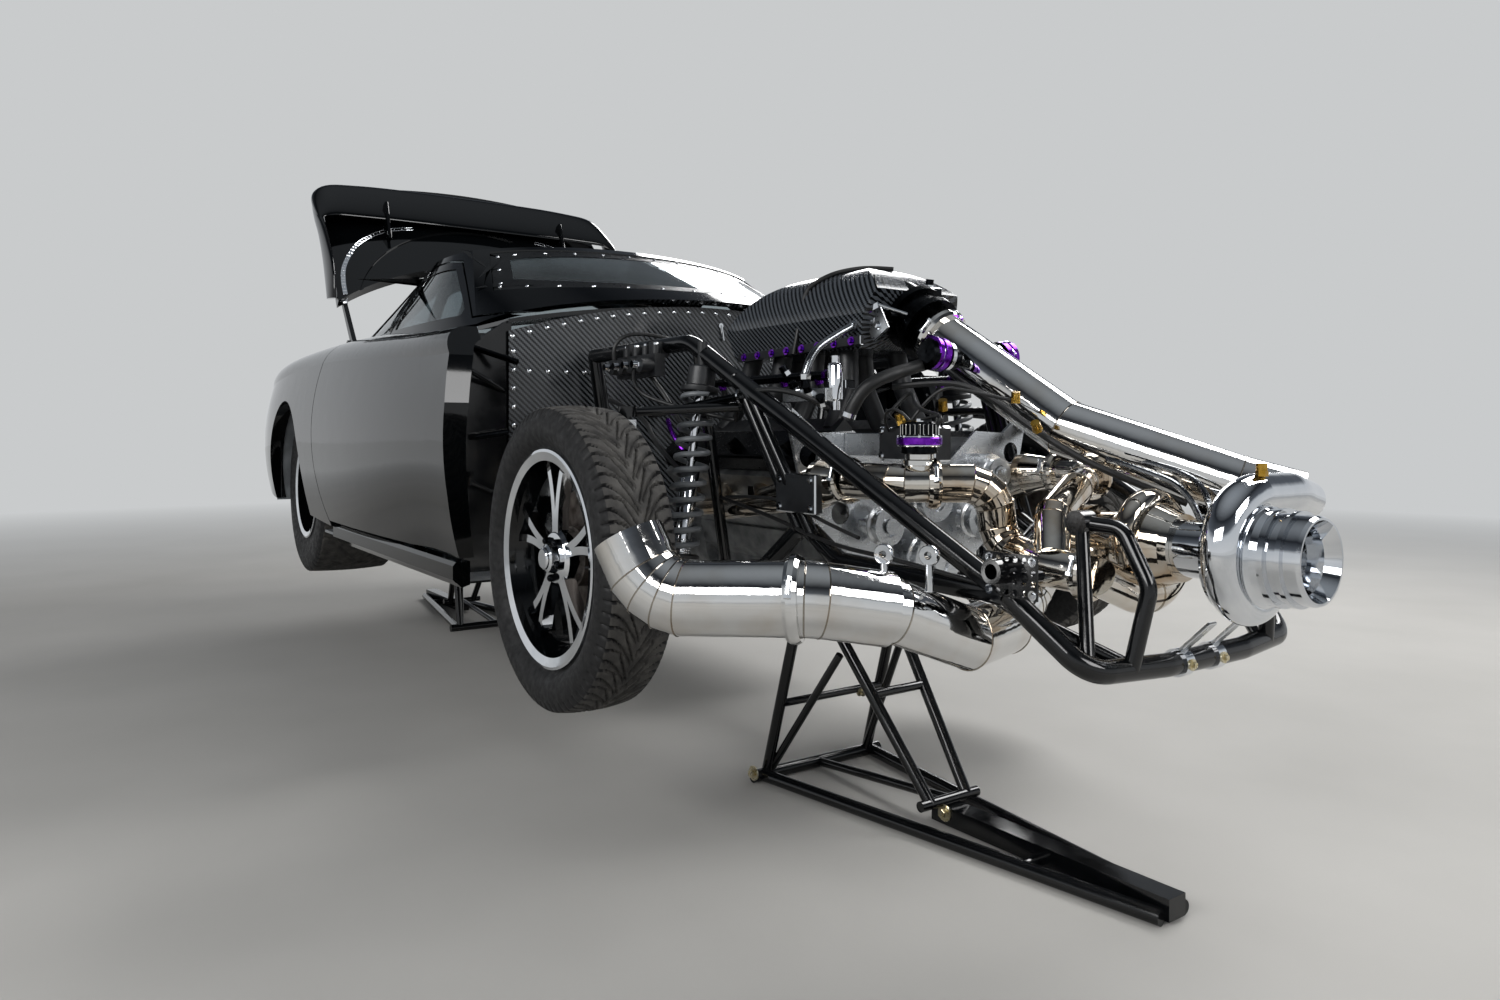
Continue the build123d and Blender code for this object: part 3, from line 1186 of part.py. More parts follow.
export_step(exhaust_pipe.part, "parts/exhaust_pipe.step")

# Solenoid bank clamped to the right upper rail.
with BuildPart() as solenoid_bank:
    block((-330, -480, 1040), (-130, -452, 1096))
    for x in (-300, -250, -200, -150):
        disc((ahead(x), -494, 1068), (0, 1, 0), 19, 40)
        disc((ahead(x), -466, 1104), (0, 0, 1), 11, 30)
    for x in (-290, -170):
        block((x - 10, -470, 1090), (x + 10, -424, 1128))
    add(front_frame.part, mode=Mode.SUBTRACT)
solenoid_bank.part.label = "solenoid_bank"
export_step(solenoid_bank.part, "parts/solenoid_bank.step")

# Front suspension arms with their ball pins, and the damper units with coil springs.
arm_tube = 25
ball_drop = 18
with BuildPart() as control_arms:
    for s in sides.values():
        low_z = upright_bottom - ball_drop
        high_z = upright_top + ball_drop
        for x, y, z in ((-130, 334, 500), (95, 334, 556)):
            tube(mirrored(spots((x, y, z), (0, kingpin_y - 8, low_z)), s), arm_tube)
        tube(mirrored(spots((-30, 397, 960), (160, 398, 960)), s), 20)
        for x in (0, 120):
            tube(mirrored(spots((x, 397, 960), (0, kingpin_y - 8, high_z)), s), arm_tube - 3)
        for z, reach in ((low_z, 1), (high_z, -1)):
            disc((ahead(0), s * kingpin_y, z), (0, 0, 1), 22, 24 - 2 * seat_gap)
            disc((ahead(0), s * kingpin_y, z + reach * (kingpin_depth + 12) / 2), (0, 0, 1), kingpin_radius,
                 kingpin_depth + 8)
    add(front_frame.part, mode=Mode.SUBTRACT)
control_arms.part.label = "control_arms"
export_step(control_arms.part, "parts/control_arms.step")

damper_top = (0, 424, 1058)
damper_bottom = (0, 500, 524)
coil_radius = 43
coil_core = 30
coil_turns = 11


def damper(bottom, top, turns):
    base = Vector(*spots(bottom)[0])
    along = Vector(*spots(top)[0]) - base
    length = along.length
    coil_start = 0.2 * length
    pitch = (length * 0.9 - coil_start) / turns
    coils = []
    for k in range(turns):
        coils += [(coil_start + pitch * (k + 0.2), coil_core), (coil_start + pitch * (k + 0.4), coil_radius),
                  (coil_start + pitch * (k + 0.75), coil_radius)]
    turned(tuple(base), tuple(along), [
        (0, 0), (0, 14), (22, 14), (22, 24), (coil_start - 12, 24), (coil_start - 12, coil_radius + 2),
        (coil_start, coil_radius + 2)] + coils + [
        (length * 0.9 + 2, coil_core), (length * 0.9 + 2, coil_radius + 2), (length * 0.9 + 14, coil_radius + 2),
        (length * 0.9 + 14, 33), (length, 33), (length, 0)])


with BuildPart() as front_dampers:
    for s in sides.values():
        damper(mirrored([damper_bottom], s)[0], mirrored([damper_top], s)[0], coil_turns)
        disc((ahead(0), s * 424, 1082), (0, 0, 1), 12, 70)
    add(front_frame.part, mode=Mode.SUBTRACT)
    add(control_arms.part, mode=Mode.SUBTRACT)
front_dampers.part.label = "front_dampers"
export_step(front_dampers.part, "parts/front_dampers.step")

# Steering rack across the frame behind the axle.
with BuildPart() as steering_rack:
    disc((ahead(-118), 0, 545), (0, 1, 0), 25, 560)
    for s in sides.values():
        disc((ahead(-118), s * 300, 545), (0, 1, 0), 31, 60)
        low, high = sorted((s * 255, s * 285))
        block((-148, low, 500), (-88, high, 545))
    disc((ahead(-118), 150, 560), (0.4, 0, 1), 30, 60)
    add(engine_block.part, mode=Mode.SUBTRACT)
    add(front_frame.part, mode=Mode.SUBTRACT)
    add(control_arms.part, mode=Mode.SUBTRACT)
steering_rack.part.label = "steering_rack"
export_step(steering_rack.part, "parts/steering_rack.step")

# Gearbox in the tunnel, then the propeller shaft.
gearbox_rear = cross_x + 20
with BuildPart() as gearbox:
    turned((0, 0, crank_z), (1, 0, 0), [
        (ahead(block_rear - seat_gap), 0), (ahead(block_rear - seat_gap), 150), (ahead(-470), 146),
        (ahead(-640), 118), (ahead(-640), 0)])
    with BuildSketch(Plane.YZ.offset(ahead(gearbox_rear - 40))) as case:
        with Locations((0, 625)):
            RectangleRounded(220, 234, 40)
    extrude(case.sketch, amount=-630 - gearbox_rear + 40)
    disc((ahead(gearbox_rear - 70), 0, crank_z), (1, 0, 0), 42, 80)
    add(chassis_rails.part, mode=Mode.SUBTRACT)
gearbox.part.label = "gearbox"
export_step(gearbox.part, "parts/gearbox.step")

# Rear axle: housing with its round centre, end flanges, brakes and the shafts that carry the wheels.
axle_housing = 45
hub_inner_y = rear_wheel_y + 20 - 30 - 14
with BuildPart() as rear_axle:
    turned((ahead(arch_x), 0, rear_axle_z), (0, 1, 0), [
        (-hub_inner_y + 46, 0), (-hub_inner_y + 46, 66), (-hub_inner_y + 60, 66), (-hub_inner_y + 60, axle_housing),
        (-130, axle_housing), (-70, 84), (70, 84), (130, axle_housing), (hub_inner_y - 60, axle_housing),
        (hub_inner_y - 60, 66), (hub_inner_y - 46, 66), (hub_inner_y - 46, 0)])
    disc((ahead(arch_x), 0, rear_axle_z), (0, 1, 0), axle_shaft_radius, 2 * (hub_inner_y + 44))
    for s in sides.values():
        disc((ahead(arch_x), s * (hub_inner_y - 24), rear_axle_z), (0, 1, 0), 145, 12)
        disc((ahead(arch_x), s * (hub_inner_y - 30), rear_axle_z), (0, 1, 0), 60, 32)
        low, high = sorted((s * (hub_inner_y - 46), s * (hub_inner_y - 4)))
        block((arch_x + 70, low, rear_axle_z - 70), (arch_x + 152, high, rear_axle_z + 70))
    turned((ahead(arch_x), 0, rear_axle_z), (1, 0, -0.02), [(0, 0), (0, 80), (90, 66), (130, 40), (142, 40), (142, 0)])
rear_axle.part.label = "rear_axle"
export_step(rear_axle.part, "parts/rear_axle.step")

with BuildPart() as drive_shaft:
    shaft_start = Vector(ahead(gearbox_rear - 112.3), 0, crank_z)
    shaft_end = Vector(ahead(arch_x + 142.5), 0, rear_axle_z - 3)
    run = shaft_end - shaft_start
    turned(tuple(shaft_start), tuple(run), [
        (0, 0), (0, 38), (30, 38), (40, 44), (run.length - 40, 44), (run.length - 30, 38), (run.length - 1, 38),
        (run.length - 1, 0)])
drive_shaft.part.label = "drive_shaft"
export_step(drive_shaft.part, "parts/drive_shaft.step")

# Rear suspension: two lower links and two damper units a side of the centre.
with BuildPart() as rear_suspension:
    for s in sides.values():
        tube(mirrored(spots((rear_cross_x, 270, rail_z + 6), (arch_x + 20, 270, rear_axle_z - 48)), s), 30)
        disc((ahead(arch_x + 6), s * 270, rear_axle_z - 46), (0, 1, 0), 26, 40)
        damper((-2690, s * 230, 600), (-2720, s * 250, 988), 8)
        tube(mirrored(spots((-2690, 230, 606), (arch_x, 230, rear_axle_z - 20)), s), 26)
    add(chassis_rails.part, mode=Mode.SUBTRACT)
    add(rear_axle.part, mode=Mode.SUBTRACT)
    add(floor_pan.part, mode=Mode.SUBTRACT)
    add(rear_tubs.part, mode=Mode.SUBTRACT)
rear_suspension.part.label = "rear_suspension"
export_step(rear_suspension.part, "parts/rear_suspension.step")

# Decklid, stored open. It is drawn in its own plane: s runs rearward and up along the lid.
lid_angle = radians(46)
lid_front = (-2430, 1457)
lid_plane = Plane(origin=(ahead(lid_front[0]), 0, lid_front[1]), x_dir=(-cos(lid_angle), 0, sin(lid_angle)),
                  z_dir=(sin(lid_angle), 0, cos(lid_angle)))
lid_half = 705
lid_length = 800
lid_front_bow = 240
lid_crown = 60
lid_edge = 40
lid_skin = 14
lid_pivot = (-2300, 1265)
lid_arm_y = 672
hinge_hole = 8


def lid_outline(inset):
    with BuildSketch(lid_plane) as outline:
        with BuildLine():
            half = lid_half - inset
            rear = lid_length - inset
            ThreePointArc((inset, -half), (lid_front_bow + inset, 0), (inset, half))
            Line((inset, half), (rear, half - 40))
            ThreePointArc((rear, half - 40), (rear + 34, 0), (rear, 40 - half))
            Line((rear, 40 - half), (inset, -half))
        make_face()
    return outline.sketch


def lid_layer(top, bottom):
    # the crowned layer between two depths below the lid's top face
    across = Plane(origin=lid_plane.from_local_coords((-60, 0, 0)), x_dir=lid_plane.y_dir, z_dir=lid_plane.x_dir)
    up = 1 if across.y_dir.dot(lid_plane.z_dir) > 0 else -1
    with BuildSketch(across) as band:
        with BuildLine():
            reach = lid_half + 60
            fall = -lid_crown * 0.18
            ThreePointArc((-reach, up * (fall - top)), (0, up * (lid_crown - top)), (reach, up * (fall - top)))
            Line((reach, up * (fall - top)), (reach, up * (fall - bottom)))
            ThreePointArc((reach, up * (fall - bottom)), (0, up * (lid_crown - bottom)), (-reach, up * (fall - bottom)))
            Line((-reach, up * (fall - bottom)), (-reach, up * (fall - top)))
        make_face()
    return extrude(band.sketch, amount=lid_length + 200, mode=Mode.PRIVATE)


pane_inset = 62
with BuildPart() as decklid:
    extrude(lid_outline(0), amount=160, both=True)
    add(lid_layer(0, lid_edge), mode=Mode.INTERSECT)
    with BuildPart(mode=Mode.PRIVATE) as lid_pan:
        extrude(lid_outline(28), amount=160, both=True)
        add(lid_layer(lid_skin, 200), mode=Mode.INTERSECT)
    add(lid_pan.part, mode=Mode.SUBTRACT)
    with BuildPart(mode=Mode.PRIVATE) as lid_recess:
        with BuildSketch(lid_plane) as pane:
            with BuildLine():
                ThreePointArc((pane_inset, -610), (lid_front_bow + 46, 0), (pane_inset, 610))
                ThreePointArc((pane_inset, 610), (520, 0), (pane_inset, -610))
            make_face()
        extrude(pane.sketch, amount=160, both=True)
        add(lid_layer(-60, 6), mode=Mode.INTERSECT)
    add(lid_recess.part, mode=Mode.SUBTRACT)
    for s in sides.values():
        low, high = sorted((s * (lid_arm_y - 9), s * (lid_arm_y + 9)))
        with BuildSketch(Plane.XZ.offset(-low)) as arm:
            with BuildLine():
                Polyline(*[(ahead(x), z) for x, z in (
                    (lid_pivot[0] + 12, lid_pivot[1] - 6), (lid_pivot[0] + 6, lid_pivot[1] + 14), (-2448, 1442),
                    (-2487, 1499), (-2507, 1480), (-2458, 1420), (lid_pivot[0] - 18, lid_pivot[1] - 4))], close=True)
            make_face()
        extrude(arm.sketch, amount=-18)
        disc((ahead(lid_pivot[0]), s * lid_arm_y, lid_pivot[1]), (0, 1, 0), 18, 18)
        disc((ahead(lid_pivot[0]), s * lid_arm_y, lid_pivot[1]), (0, 1, 0), hinge_hole + running_gap, 30,
             mode=Mode.SUBTRACT)
decklid.part.label = "decklid"
export_step(decklid.part, "parts/decklid.step")

# Lid hinge ears and pins on the body's shoulder.
with BuildPart() as lid_hinges:
    for s in sides.values():
        for offset_y in (-21, 21):
            middle = lid_arm_y + offset_y
            low, high = sorted((s * (middle - 6), s * (middle + 6)))
            block((lid_pivot[0] - 16, low, 1200), (lid_pivot[0] + 16, high, lid_pivot[1]))
            disc((ahead(lid_pivot[0]), s * middle, lid_pivot[1]), (0, 1, 0), 16, 12)
        disc((ahead(lid_pivot[0]), s * lid_arm_y, lid_pivot[1]), (0, 1, 0), hinge_hole, 60)
    add(body_shell.part, mode=Mode.SUBTRACT)
    add(fixed_glass.part, mode=Mode.SUBTRACT)
lid_hinges.part.label = "lid_hinges"
export_step(lid_hinges.part, "parts/lid_hinges.step")

# Rear wing: an arched plank with end legs that taper down along the lid's sides, and a middle strut.
wing_chord = 200
wing_half = 750
with BuildPart() as rear_wing:
    block((-2900, -16, 1850), (-2810, 16, 2060))
    add(lid_layer(-seat_gap, 400), mode=Mode.SUBTRACT)
    sections = []
    for share, rise, chord in ((0, 0, 0.92), (0.12, 22, 1.0), (0.5, 60, 1.0), (0.88, 22, 1.0), (1, 0, 0.92)):
        with BuildSketch(Plane(origin=(ahead(-2850), -wing_half + 2 * wing_half * share, 2005 + rise),
                               x_dir=(0.94, 0, -0.34), z_dir=(0, 1, 0))) as section:
            SlotOverall(wing_chord * chord, 36)
        sections.append(section.sketch)
    loft(sections)
    for s in sides.values():
        with BuildSketch(Plane.XZ.offset(-s * (lid_half + seat_gap))) as leg:
            with BuildLine():
                Polyline((ahead(-2762), 1990), (ahead(-2950), 2040), (ahead(-2936), 1940))
                ThreePointArc((ahead(-2936), 1940), (ahead(-2720), 1702), (ahead(-2488), 1462))
                Line((ahead(-2488), 1462), (ahead(-2430), 1470))
                ThreePointArc((ahead(-2430), 1470), (ahead(-2640), 1700), (ahead(-2762), 1990))
            make_face()
        extrude(leg.sketch, amount=-s * 30)
rear_wing.part.label = "rear_wing"
export_step(rear_wing.part, "parts/rear_wing.step")


# Stands: welded tube jacks under the front cross tube and the rear axle.
def stand(saddle_x, saddle_z, forward, nose):
    f = forward

    def place(*rows):
        return spots(*[(saddle_x + f * x, y, z) for x, y, z in rows])

    foot = stand_tube / 2
    tube(place((-150, -215, foot), (-150, 215, foot)), stand_tube)
    for s in (-1, 1):
        tube(mirrored(place((-150, 185, foot), (nose, 34, foot)), s), stand_tube)
        tube(mirrored(place((-150, 172, foot), (-14, 165, saddle_z - 50)), s), stand_tube - 4)
        tube(mirrored(place((330, 58, foot + 40), (4, 112, saddle_z - 50)), s), stand_tube - 4)
        tube(mirrored(place((-150, 165, foot), (60, 100, foot + (saddle_z - 60) * 0.72)), s), 20)
    tube(place((-88, -168, foot + 195), (-88, 168, foot + 195)), 20)
    tube(place((330, -92, foot + 42), (330, 92, foot + 42)), 24)
    tube(place((160, -84, saddle_z * 0.52), (160, 84, saddle_z * 0.52)), 22)
    tube(place((600, -72, foot), (600, 72, foot)), 24)
    tube(place((-14, -215, saddle_z - 44), (-14, 215, saddle_z - 44)), stand_tube)
    tube(place((-150, 0, foot), (330, 0, foot + 42)), 22)
    low, high = sorted((saddle_x + f * 300, saddle_x + f * (nose + 10)))
    block((low, -26, foot - 8), (high, 26, foot + 34))
    for s in (-1, 1):
        low, high = sorted((s * 140, s * 200))
        block((saddle_x - 30, low, saddle_z - 40), (saddle_x + 30, high, saddle_z))


with BuildPart() as front_stand:
    stand(60, 540 - frame_tube / 2 + 8, 1, 890)
    add(front_frame.part, mode=Mode.SUBTRACT)
front_stand.part.label = "front_stand"
export_step(front_stand.part, "parts/front_stand.step")
with BuildPart() as rear_stand:
    stand(arch_x, rear_axle_z - axle_housing + 8, -1, 820)
    add(rear_axle.part, mode=Mode.SUBTRACT)
    add(rear_suspension.part, mode=Mode.SUBTRACT)
rear_stand.part.label = "rear_stand"
export_step(rear_stand.part, "parts/rear_stand.step")
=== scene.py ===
import math
import bmesh
import bpy
from mathutils import Matrix, Vector
from mathutils.bvhtree import BVHTree


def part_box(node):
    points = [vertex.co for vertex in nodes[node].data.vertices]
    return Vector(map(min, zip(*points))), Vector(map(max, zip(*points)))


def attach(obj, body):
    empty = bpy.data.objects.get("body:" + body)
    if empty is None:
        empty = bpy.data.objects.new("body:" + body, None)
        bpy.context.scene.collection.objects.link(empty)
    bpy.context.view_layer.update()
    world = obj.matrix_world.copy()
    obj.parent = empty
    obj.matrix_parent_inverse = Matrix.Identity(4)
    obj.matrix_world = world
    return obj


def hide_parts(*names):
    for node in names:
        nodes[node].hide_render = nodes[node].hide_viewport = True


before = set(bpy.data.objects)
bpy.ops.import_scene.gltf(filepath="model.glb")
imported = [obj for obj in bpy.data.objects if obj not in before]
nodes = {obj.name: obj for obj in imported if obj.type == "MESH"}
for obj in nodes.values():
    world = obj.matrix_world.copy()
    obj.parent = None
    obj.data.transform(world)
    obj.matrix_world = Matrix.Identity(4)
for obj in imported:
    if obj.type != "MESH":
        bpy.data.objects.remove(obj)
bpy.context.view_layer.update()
tyreLow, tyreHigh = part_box("front_tyre_right")
axleX = (tyreLow.x + tyreHigh.x) / 2  # the front axle, from which every place is measured
wheelbase = 2.62
sides = {"Right": -1, "Left": 1}
print("frame loaded, front axle at x", round(axleX, 4))


# Small helpers

def at(x, y, z):
    return Vector((axleX + x, y, z))


def srgb(code):
    parts = [int(code[k:k + 2], 16) / 255 for k in (1, 3, 5)]
    return [c / 12.92 if c <= 0.04045 else ((c + 0.055) / 1.055) ** 2.4 for c in parts] + [1.0]


def addNode(tree, kind, settings=None, inputs=None):
    node = tree.nodes.new(kind)
    for key, value in (settings or {}).items():
        setattr(node, key, value)
    for key, value in (inputs or {}).items():
        if isinstance(value, bpy.types.NodeSocket):
            tree.links.new(value, node.inputs[key])
        else:
            node.inputs[key].default_value = value
    return node


def startMaterial(name, values):
    # a material with its shader's constant sockets set, and its Object coordinates
    material = bpy.data.materials.new(name)
    material.use_nodes = True
    tree = material.node_tree
    shader = tree.nodes["Principled BSDF"]
    for key, value in values.items():
        shader.inputs[key].default_value = value
    coordinates = addNode(tree, "ShaderNodeTexCoord").outputs["Object"]
    return material, tree, shader, coordinates


def varied(tree, place, scale, detail, stops):
    # noise of a real size sent through a ramp; stops are (position, colour or grey)
    noise = addNode(tree, "ShaderNodeTexNoise", None, {"Vector": place, "Scale": scale, "Detail": detail})
    ramp = addNode(tree, "ShaderNodeValToRGB", None, {"Fac": noise.outputs["Fac"]})
    for element, (position, value) in zip(ramp.color_ramp.elements, stops):
        element.position = position
        element.color = srgb(value) if isinstance(value, str) else (value, value, value, 1)
    return ramp.outputs["Color"]


def bumped(tree, shader, height, distance):
    bump = addNode(tree, "ShaderNodeBump", None, {"Height": height, "Distance": distance})
    tree.links.new(bump.outputs["Normal"], shader.inputs["Normal"])


def reckon(tree, operation, *values):
    # the result of a Math node
    return addNode(tree, "ShaderNodeMath", {"operation": operation}, dict(enumerate(values))).outputs[0]


def mixed(tree, factor, first, second):
    # the first colour where the factor is none, the second where it is one
    mix = addNode(tree, "ShaderNodeMix", {"data_type": "RGBA"}, {"Factor": factor, "A": first, "B": second})
    return mix.outputs["Result"]


def perMetre(millimetres):
    # the noise scale whose features are about this large
    return 1000 / millimetres


# Materials

def surface(name, values, tone=None, rough=None, grain=None):
    # a material with noise of real sizes: tone and rough are (millimetres, detail, stops), grain is a
    # relief of (millimetres, detail, depth in metres)
    material, tree, shader, place = startMaterial(name, values)
    for socket, noise in (("Base Color", tone), ("Roughness", rough)):
        if noise:
            size, detail, stops = noise
            tree.links.new(varied(tree, place, perMetre(size), detail, stops), shader.inputs[socket])
    if grain:
        size, detail, depth = grain
        relief = addNode(tree, "ShaderNodeTexNoise", None, {
            "Vector": place, "Scale": perMetre(size), "Detail": detail})
        bumped(tree, shader, relief.outputs["Fac"], depth)
    return material


def polishedStainless(name, bright, straw, waves=30):
    # stainless tube, buffed after welding: mirror-bright, with straw tint where it has run hot
    return surface(name, {"Metallic": 1.0}, (90, 3, [(0.42, bright), (0.8, straw)]),
                   (25, 5, [(0.3, 0.03), (0.8, 0.1)]), (waves, 2.0, 0.0004))


def milledAluminium():
    # plate milled and brushed: fine straight lines and a satin sheen
    material, tree, shader, place = startMaterial("milledAluminium", {"Metallic": 1.0})
    stretched = addNode(tree, "ShaderNodeMapping", None, {"Vector": place, "Scale": (1.0, 0.04, 1.0)})
    lines = varied(tree, stretched.outputs["Vector"], perMetre(1.2), 3, [(0.3, "#b4b7ba"), (0.7, "#d6d8da")])
    tree.links.new(lines, shader.inputs["Base Color"])
    rough = varied(tree, place, perMetre(40), 4, [(0.3, 0.2), (0.8, 0.38)])
    tree.links.new(rough, shader.inputs["Roughness"])
    return material


def carbonTwill(name, wrapped, dark, bright):
    # two-by-two carbon twill under clear resin: crossing tows that catch the light in diagonal lines
    towWidth = 0.0042  # a real tow is 2 mm; drawn wider so that the weave shows at this distance
    domeAxis, domeRadius = 1.16, 0.14
    material, tree, shader, place = startMaterial(name, {"IOR": 1.5})
    axes = addNode(tree, "ShaderNodeSeparateXYZ", None, {"Vector": place})
    if wrapped:  # the cloth wraps round a long dome
        height = reckon(tree, "SUBTRACT", axes.outputs["Z"], domeAxis)
        turn = reckon(tree, "ARCTAN2", axes.outputs["Y"], height)
        warp, weft = axes.outputs["X"], reckon(tree, "MULTIPLY", turn, domeRadius)
    else:
        warp, weft = axes.outputs["Y"], axes.outputs["Z"]
    counts = [reckon(tree, "FLOOR", reckon(tree, "DIVIDE", thread, towWidth)) for thread in (warp, weft)]
    phase = reckon(tree, "FLOORED_MODULO", reckon(tree, "ADD", *counts), 4.0)
    over = reckon(tree, "LESS_THAN", phase, 2.0)
    tree.links.new(mixed(tree, over, srgb(dark), srgb(bright)), shader.inputs["Base Color"])
    rough = varied(tree, place, perMetre(60), 3, [(0.3, 0.1), (0.8, 0.24)])
    tree.links.new(rough, shader.inputs["Roughness"])
    bumped(tree, shader, over, 0.00004)
    return material


def tyreRubber(name, dark, pale, roughLow):
    # vulcanised rubber: matt black, greyer where the road has scuffed it
    return surface(name, {"IOR": 1.5, "Specular IOR Level": 0.35}, (35, 6, [(0.35, dark), (0.72, pale)]),
                   (15, 4, [(0.3, roughLow), (0.8, 0.9)]), (1.4, 3.0, 0.00025))


def satinBlack(name, low="#0d0e10", high="#1c1e21", roughLow=0.35, grain=1.2):
    # moulded black plastic and rubber hose: an even satin with a fine grain
    return surface(name, {"IOR": 1.48}, (45, 4, [(0.3, low), (0.75, high)]),
                   (20, 3, [(0.3, roughLow), (0.8, roughLow + 0.2)]), (grain, 2.0, 0.00012))


def anodised(name, low, high):
    # turned and dyed aluminium: a saturated colour with a metal sheen
    return surface(name, {"Metallic": 1.0}, (12, 3, [(0.3, low), (0.75, high)]),
                   (8, 3, [(0.3, 0.16), (0.8, 0.32)]))


def enamel(name, low, high):
    # sprayed enamel: even colour with slight mottling
    return surface(name, {"IOR": 1.5}, (70, 5, [(0.3, low), (0.75, high)]),
                   (30, 3, [(0.3, 0.3), (0.8, 0.5)]), (2.5, 2.0, 0.00008))


def lampLens():
    # moulded acrylic lens: dark red with vertical ribs
    material, tree, shader, place = startMaterial("lampLens", {
        "IOR": 1.49, "Coat Weight": 1.0, "Coat Roughness": 0.04})
    ribs = addNode(tree, "ShaderNodeTexWave", {"bands_direction": "Y"}, {"Vector": place, "Scale": 40.0})
    tone = mixed(tree, ribs.outputs["Fac"], srgb("#3a0405"), srgb("#6d0b0c"))
    tree.links.new(tone, shader.inputs["Base Color"])
    bumped(tree, shader, ribs.outputs["Fac"], 0.0006)
    return material


def wovenUpholstery():
    # plain-woven nylon over foam: fine crossed threads and a soft sheen
    material, tree, shader, place = startMaterial("wovenUpholstery", {"Sheen Weight": 0.4, "Roughness": 0.85})
    waves = []
    for direction in ("X", "Z"):  # threads 1 mm apart, drawn at 3 mm so that they show
        wave = addNode(tree, "ShaderNodeTexWave", {"bands_direction": direction}, {
            "Vector": place, "Scale": 105.0})
        waves.append(wave.outputs["Fac"])
    weave = reckon(tree, "ADD", *waves)
    tree.links.new(mixed(tree, weave, srgb("#0e0f11"), srgb("#25272b")), shader.inputs["Base Color"])
    bumped(tree, shader, weave, 0.0005)
    return material


# two-stage black paint, polished flat: a deep black with a mirror-like face and faint haze
lacquer = surface("blackLacquer", {"Base Color": srgb("#040506"), "IOR": 1.45}, None,
                  (140, 4, [(0.35, 0.03), (0.7, 0.09)]), (4, 1.0, 0.00002))
# gloss black powder coat, sprayed and baked: slightly wavy gloss that softens each highlight
coat = surface("powderCoat", {"IOR": 1.5}, (60, 3, [(0.3, "#050607"), (0.75, "#0c0d0f")]),
               (35, 4, [(0.3, 0.08), (0.8, 0.2)]), (3, 2.0, 0.00006))
stainless = polishedStainless("polishedStainless", "#dededd", "#cfc9c0")
warmStainless = polishedStainless("temperedStainless", "#d8d3ca", "#a98a5e", 22)
weldSteel = polishedStainless("weldSteel", "#a39c92", "#7a5f3c", 6)
braid = polishedStainless("braidedSleeve", "#8d9093", "#5c5f62", 3)
# cast aluminium, ground and buffed: bright and cool with soft waves left by the wheel
brightAlloy = surface("polishedAluminium", {"Metallic": 1.0}, (80, 3, [(0.35, "#e3e5e8"), (0.75, "#cfd3d8")]),
                      (18, 5, [(0.3, 0.03), (0.85, 0.11)]), (45, 2.0, 0.0005))
# sand-cast aluminium with oil film: grainy, mid grey and uneven
castAlloy = surface("castAluminium", {"Metallic": 1.0}, (50, 6, [(0.3, "#6f7173"), (0.72, "#a9abac")]),
                    (20, 4, [(0.3, 0.34), (0.8, 0.6)]), (1.6, 3.0, 0.0003))
milled = milledAluminium()
# cast iron and steel that run hot: brown-black scale with a dull bare face
hotSteel = surface("heatedCastSteel", {"Metallic": 0.85}, (30, 6, [(0.32, "#3b332e"), (0.72, "#77706a")]),
                   (12, 4, [(0.3, 0.38), (0.8, 0.62)]), (1.5, 3.0, 0.0002))
carbonSheet = carbonTwill("carbonSheet", False, "#0a0b0c", "#4c4f52")
carbonDome = carbonTwill("carbonDome", True, "#08090a", "#4a4e53")
sidewallRubber = tyreRubber("sidewallRubber", "#0b0b0c", "#161617", 0.5)
treadRubber = tyreRubber("treadRubber", "#2b2a29", "#4a4845", 0.72)
# extruded polycarbonate sheet: clear with a faint smoke and a few polishing hazes
polycarbonate = surface("clearPolycarbonate", {
    "Base Color": srgb("#aab4b8"), "IOR": 1.45, "Transmission Weight": 1.0}, None,
    (180, 4, [(0.4, 0.01), (0.85, 0.06)]))
plastic = satinBlack("satinPlastic")
hoseRubber = satinBlack("hoseRubber", "#0a0a0b", "#151617", 0.4, 2.0)
purple = anodised("purpleAnodised", "#5a1496", "#8a35c8")
blackAnodised = anodised("blackAnodised", "#0c0d0f", "#1d1f22")
brass = anodised("brass", "#a8812f", "#d0aa55")
greyEnamel = enamel("greyEnamel", "#5b5e61", "#767a7d")
paleTrim = enamel("paleTrim", "#8d9092", "#a5a8aa")
borderVinyl = satinBlack("borderVinyl", "#0a0b0c", "#131415", 0.25, 4.0)
# yellow-passivated zinc on bolts: pale gold with rainbow patches
zinc = surface("zincPlate", {"Metallic": 1.0}, (6, 3, [(0.35, "#c9b98a"), (0.7, "#dcd9c8")]),
               (5, 3, [(0.3, 0.24), (0.8, 0.4)]))
redLens = lampLens()
upholstery = wovenUpholstery()
print("materials made")

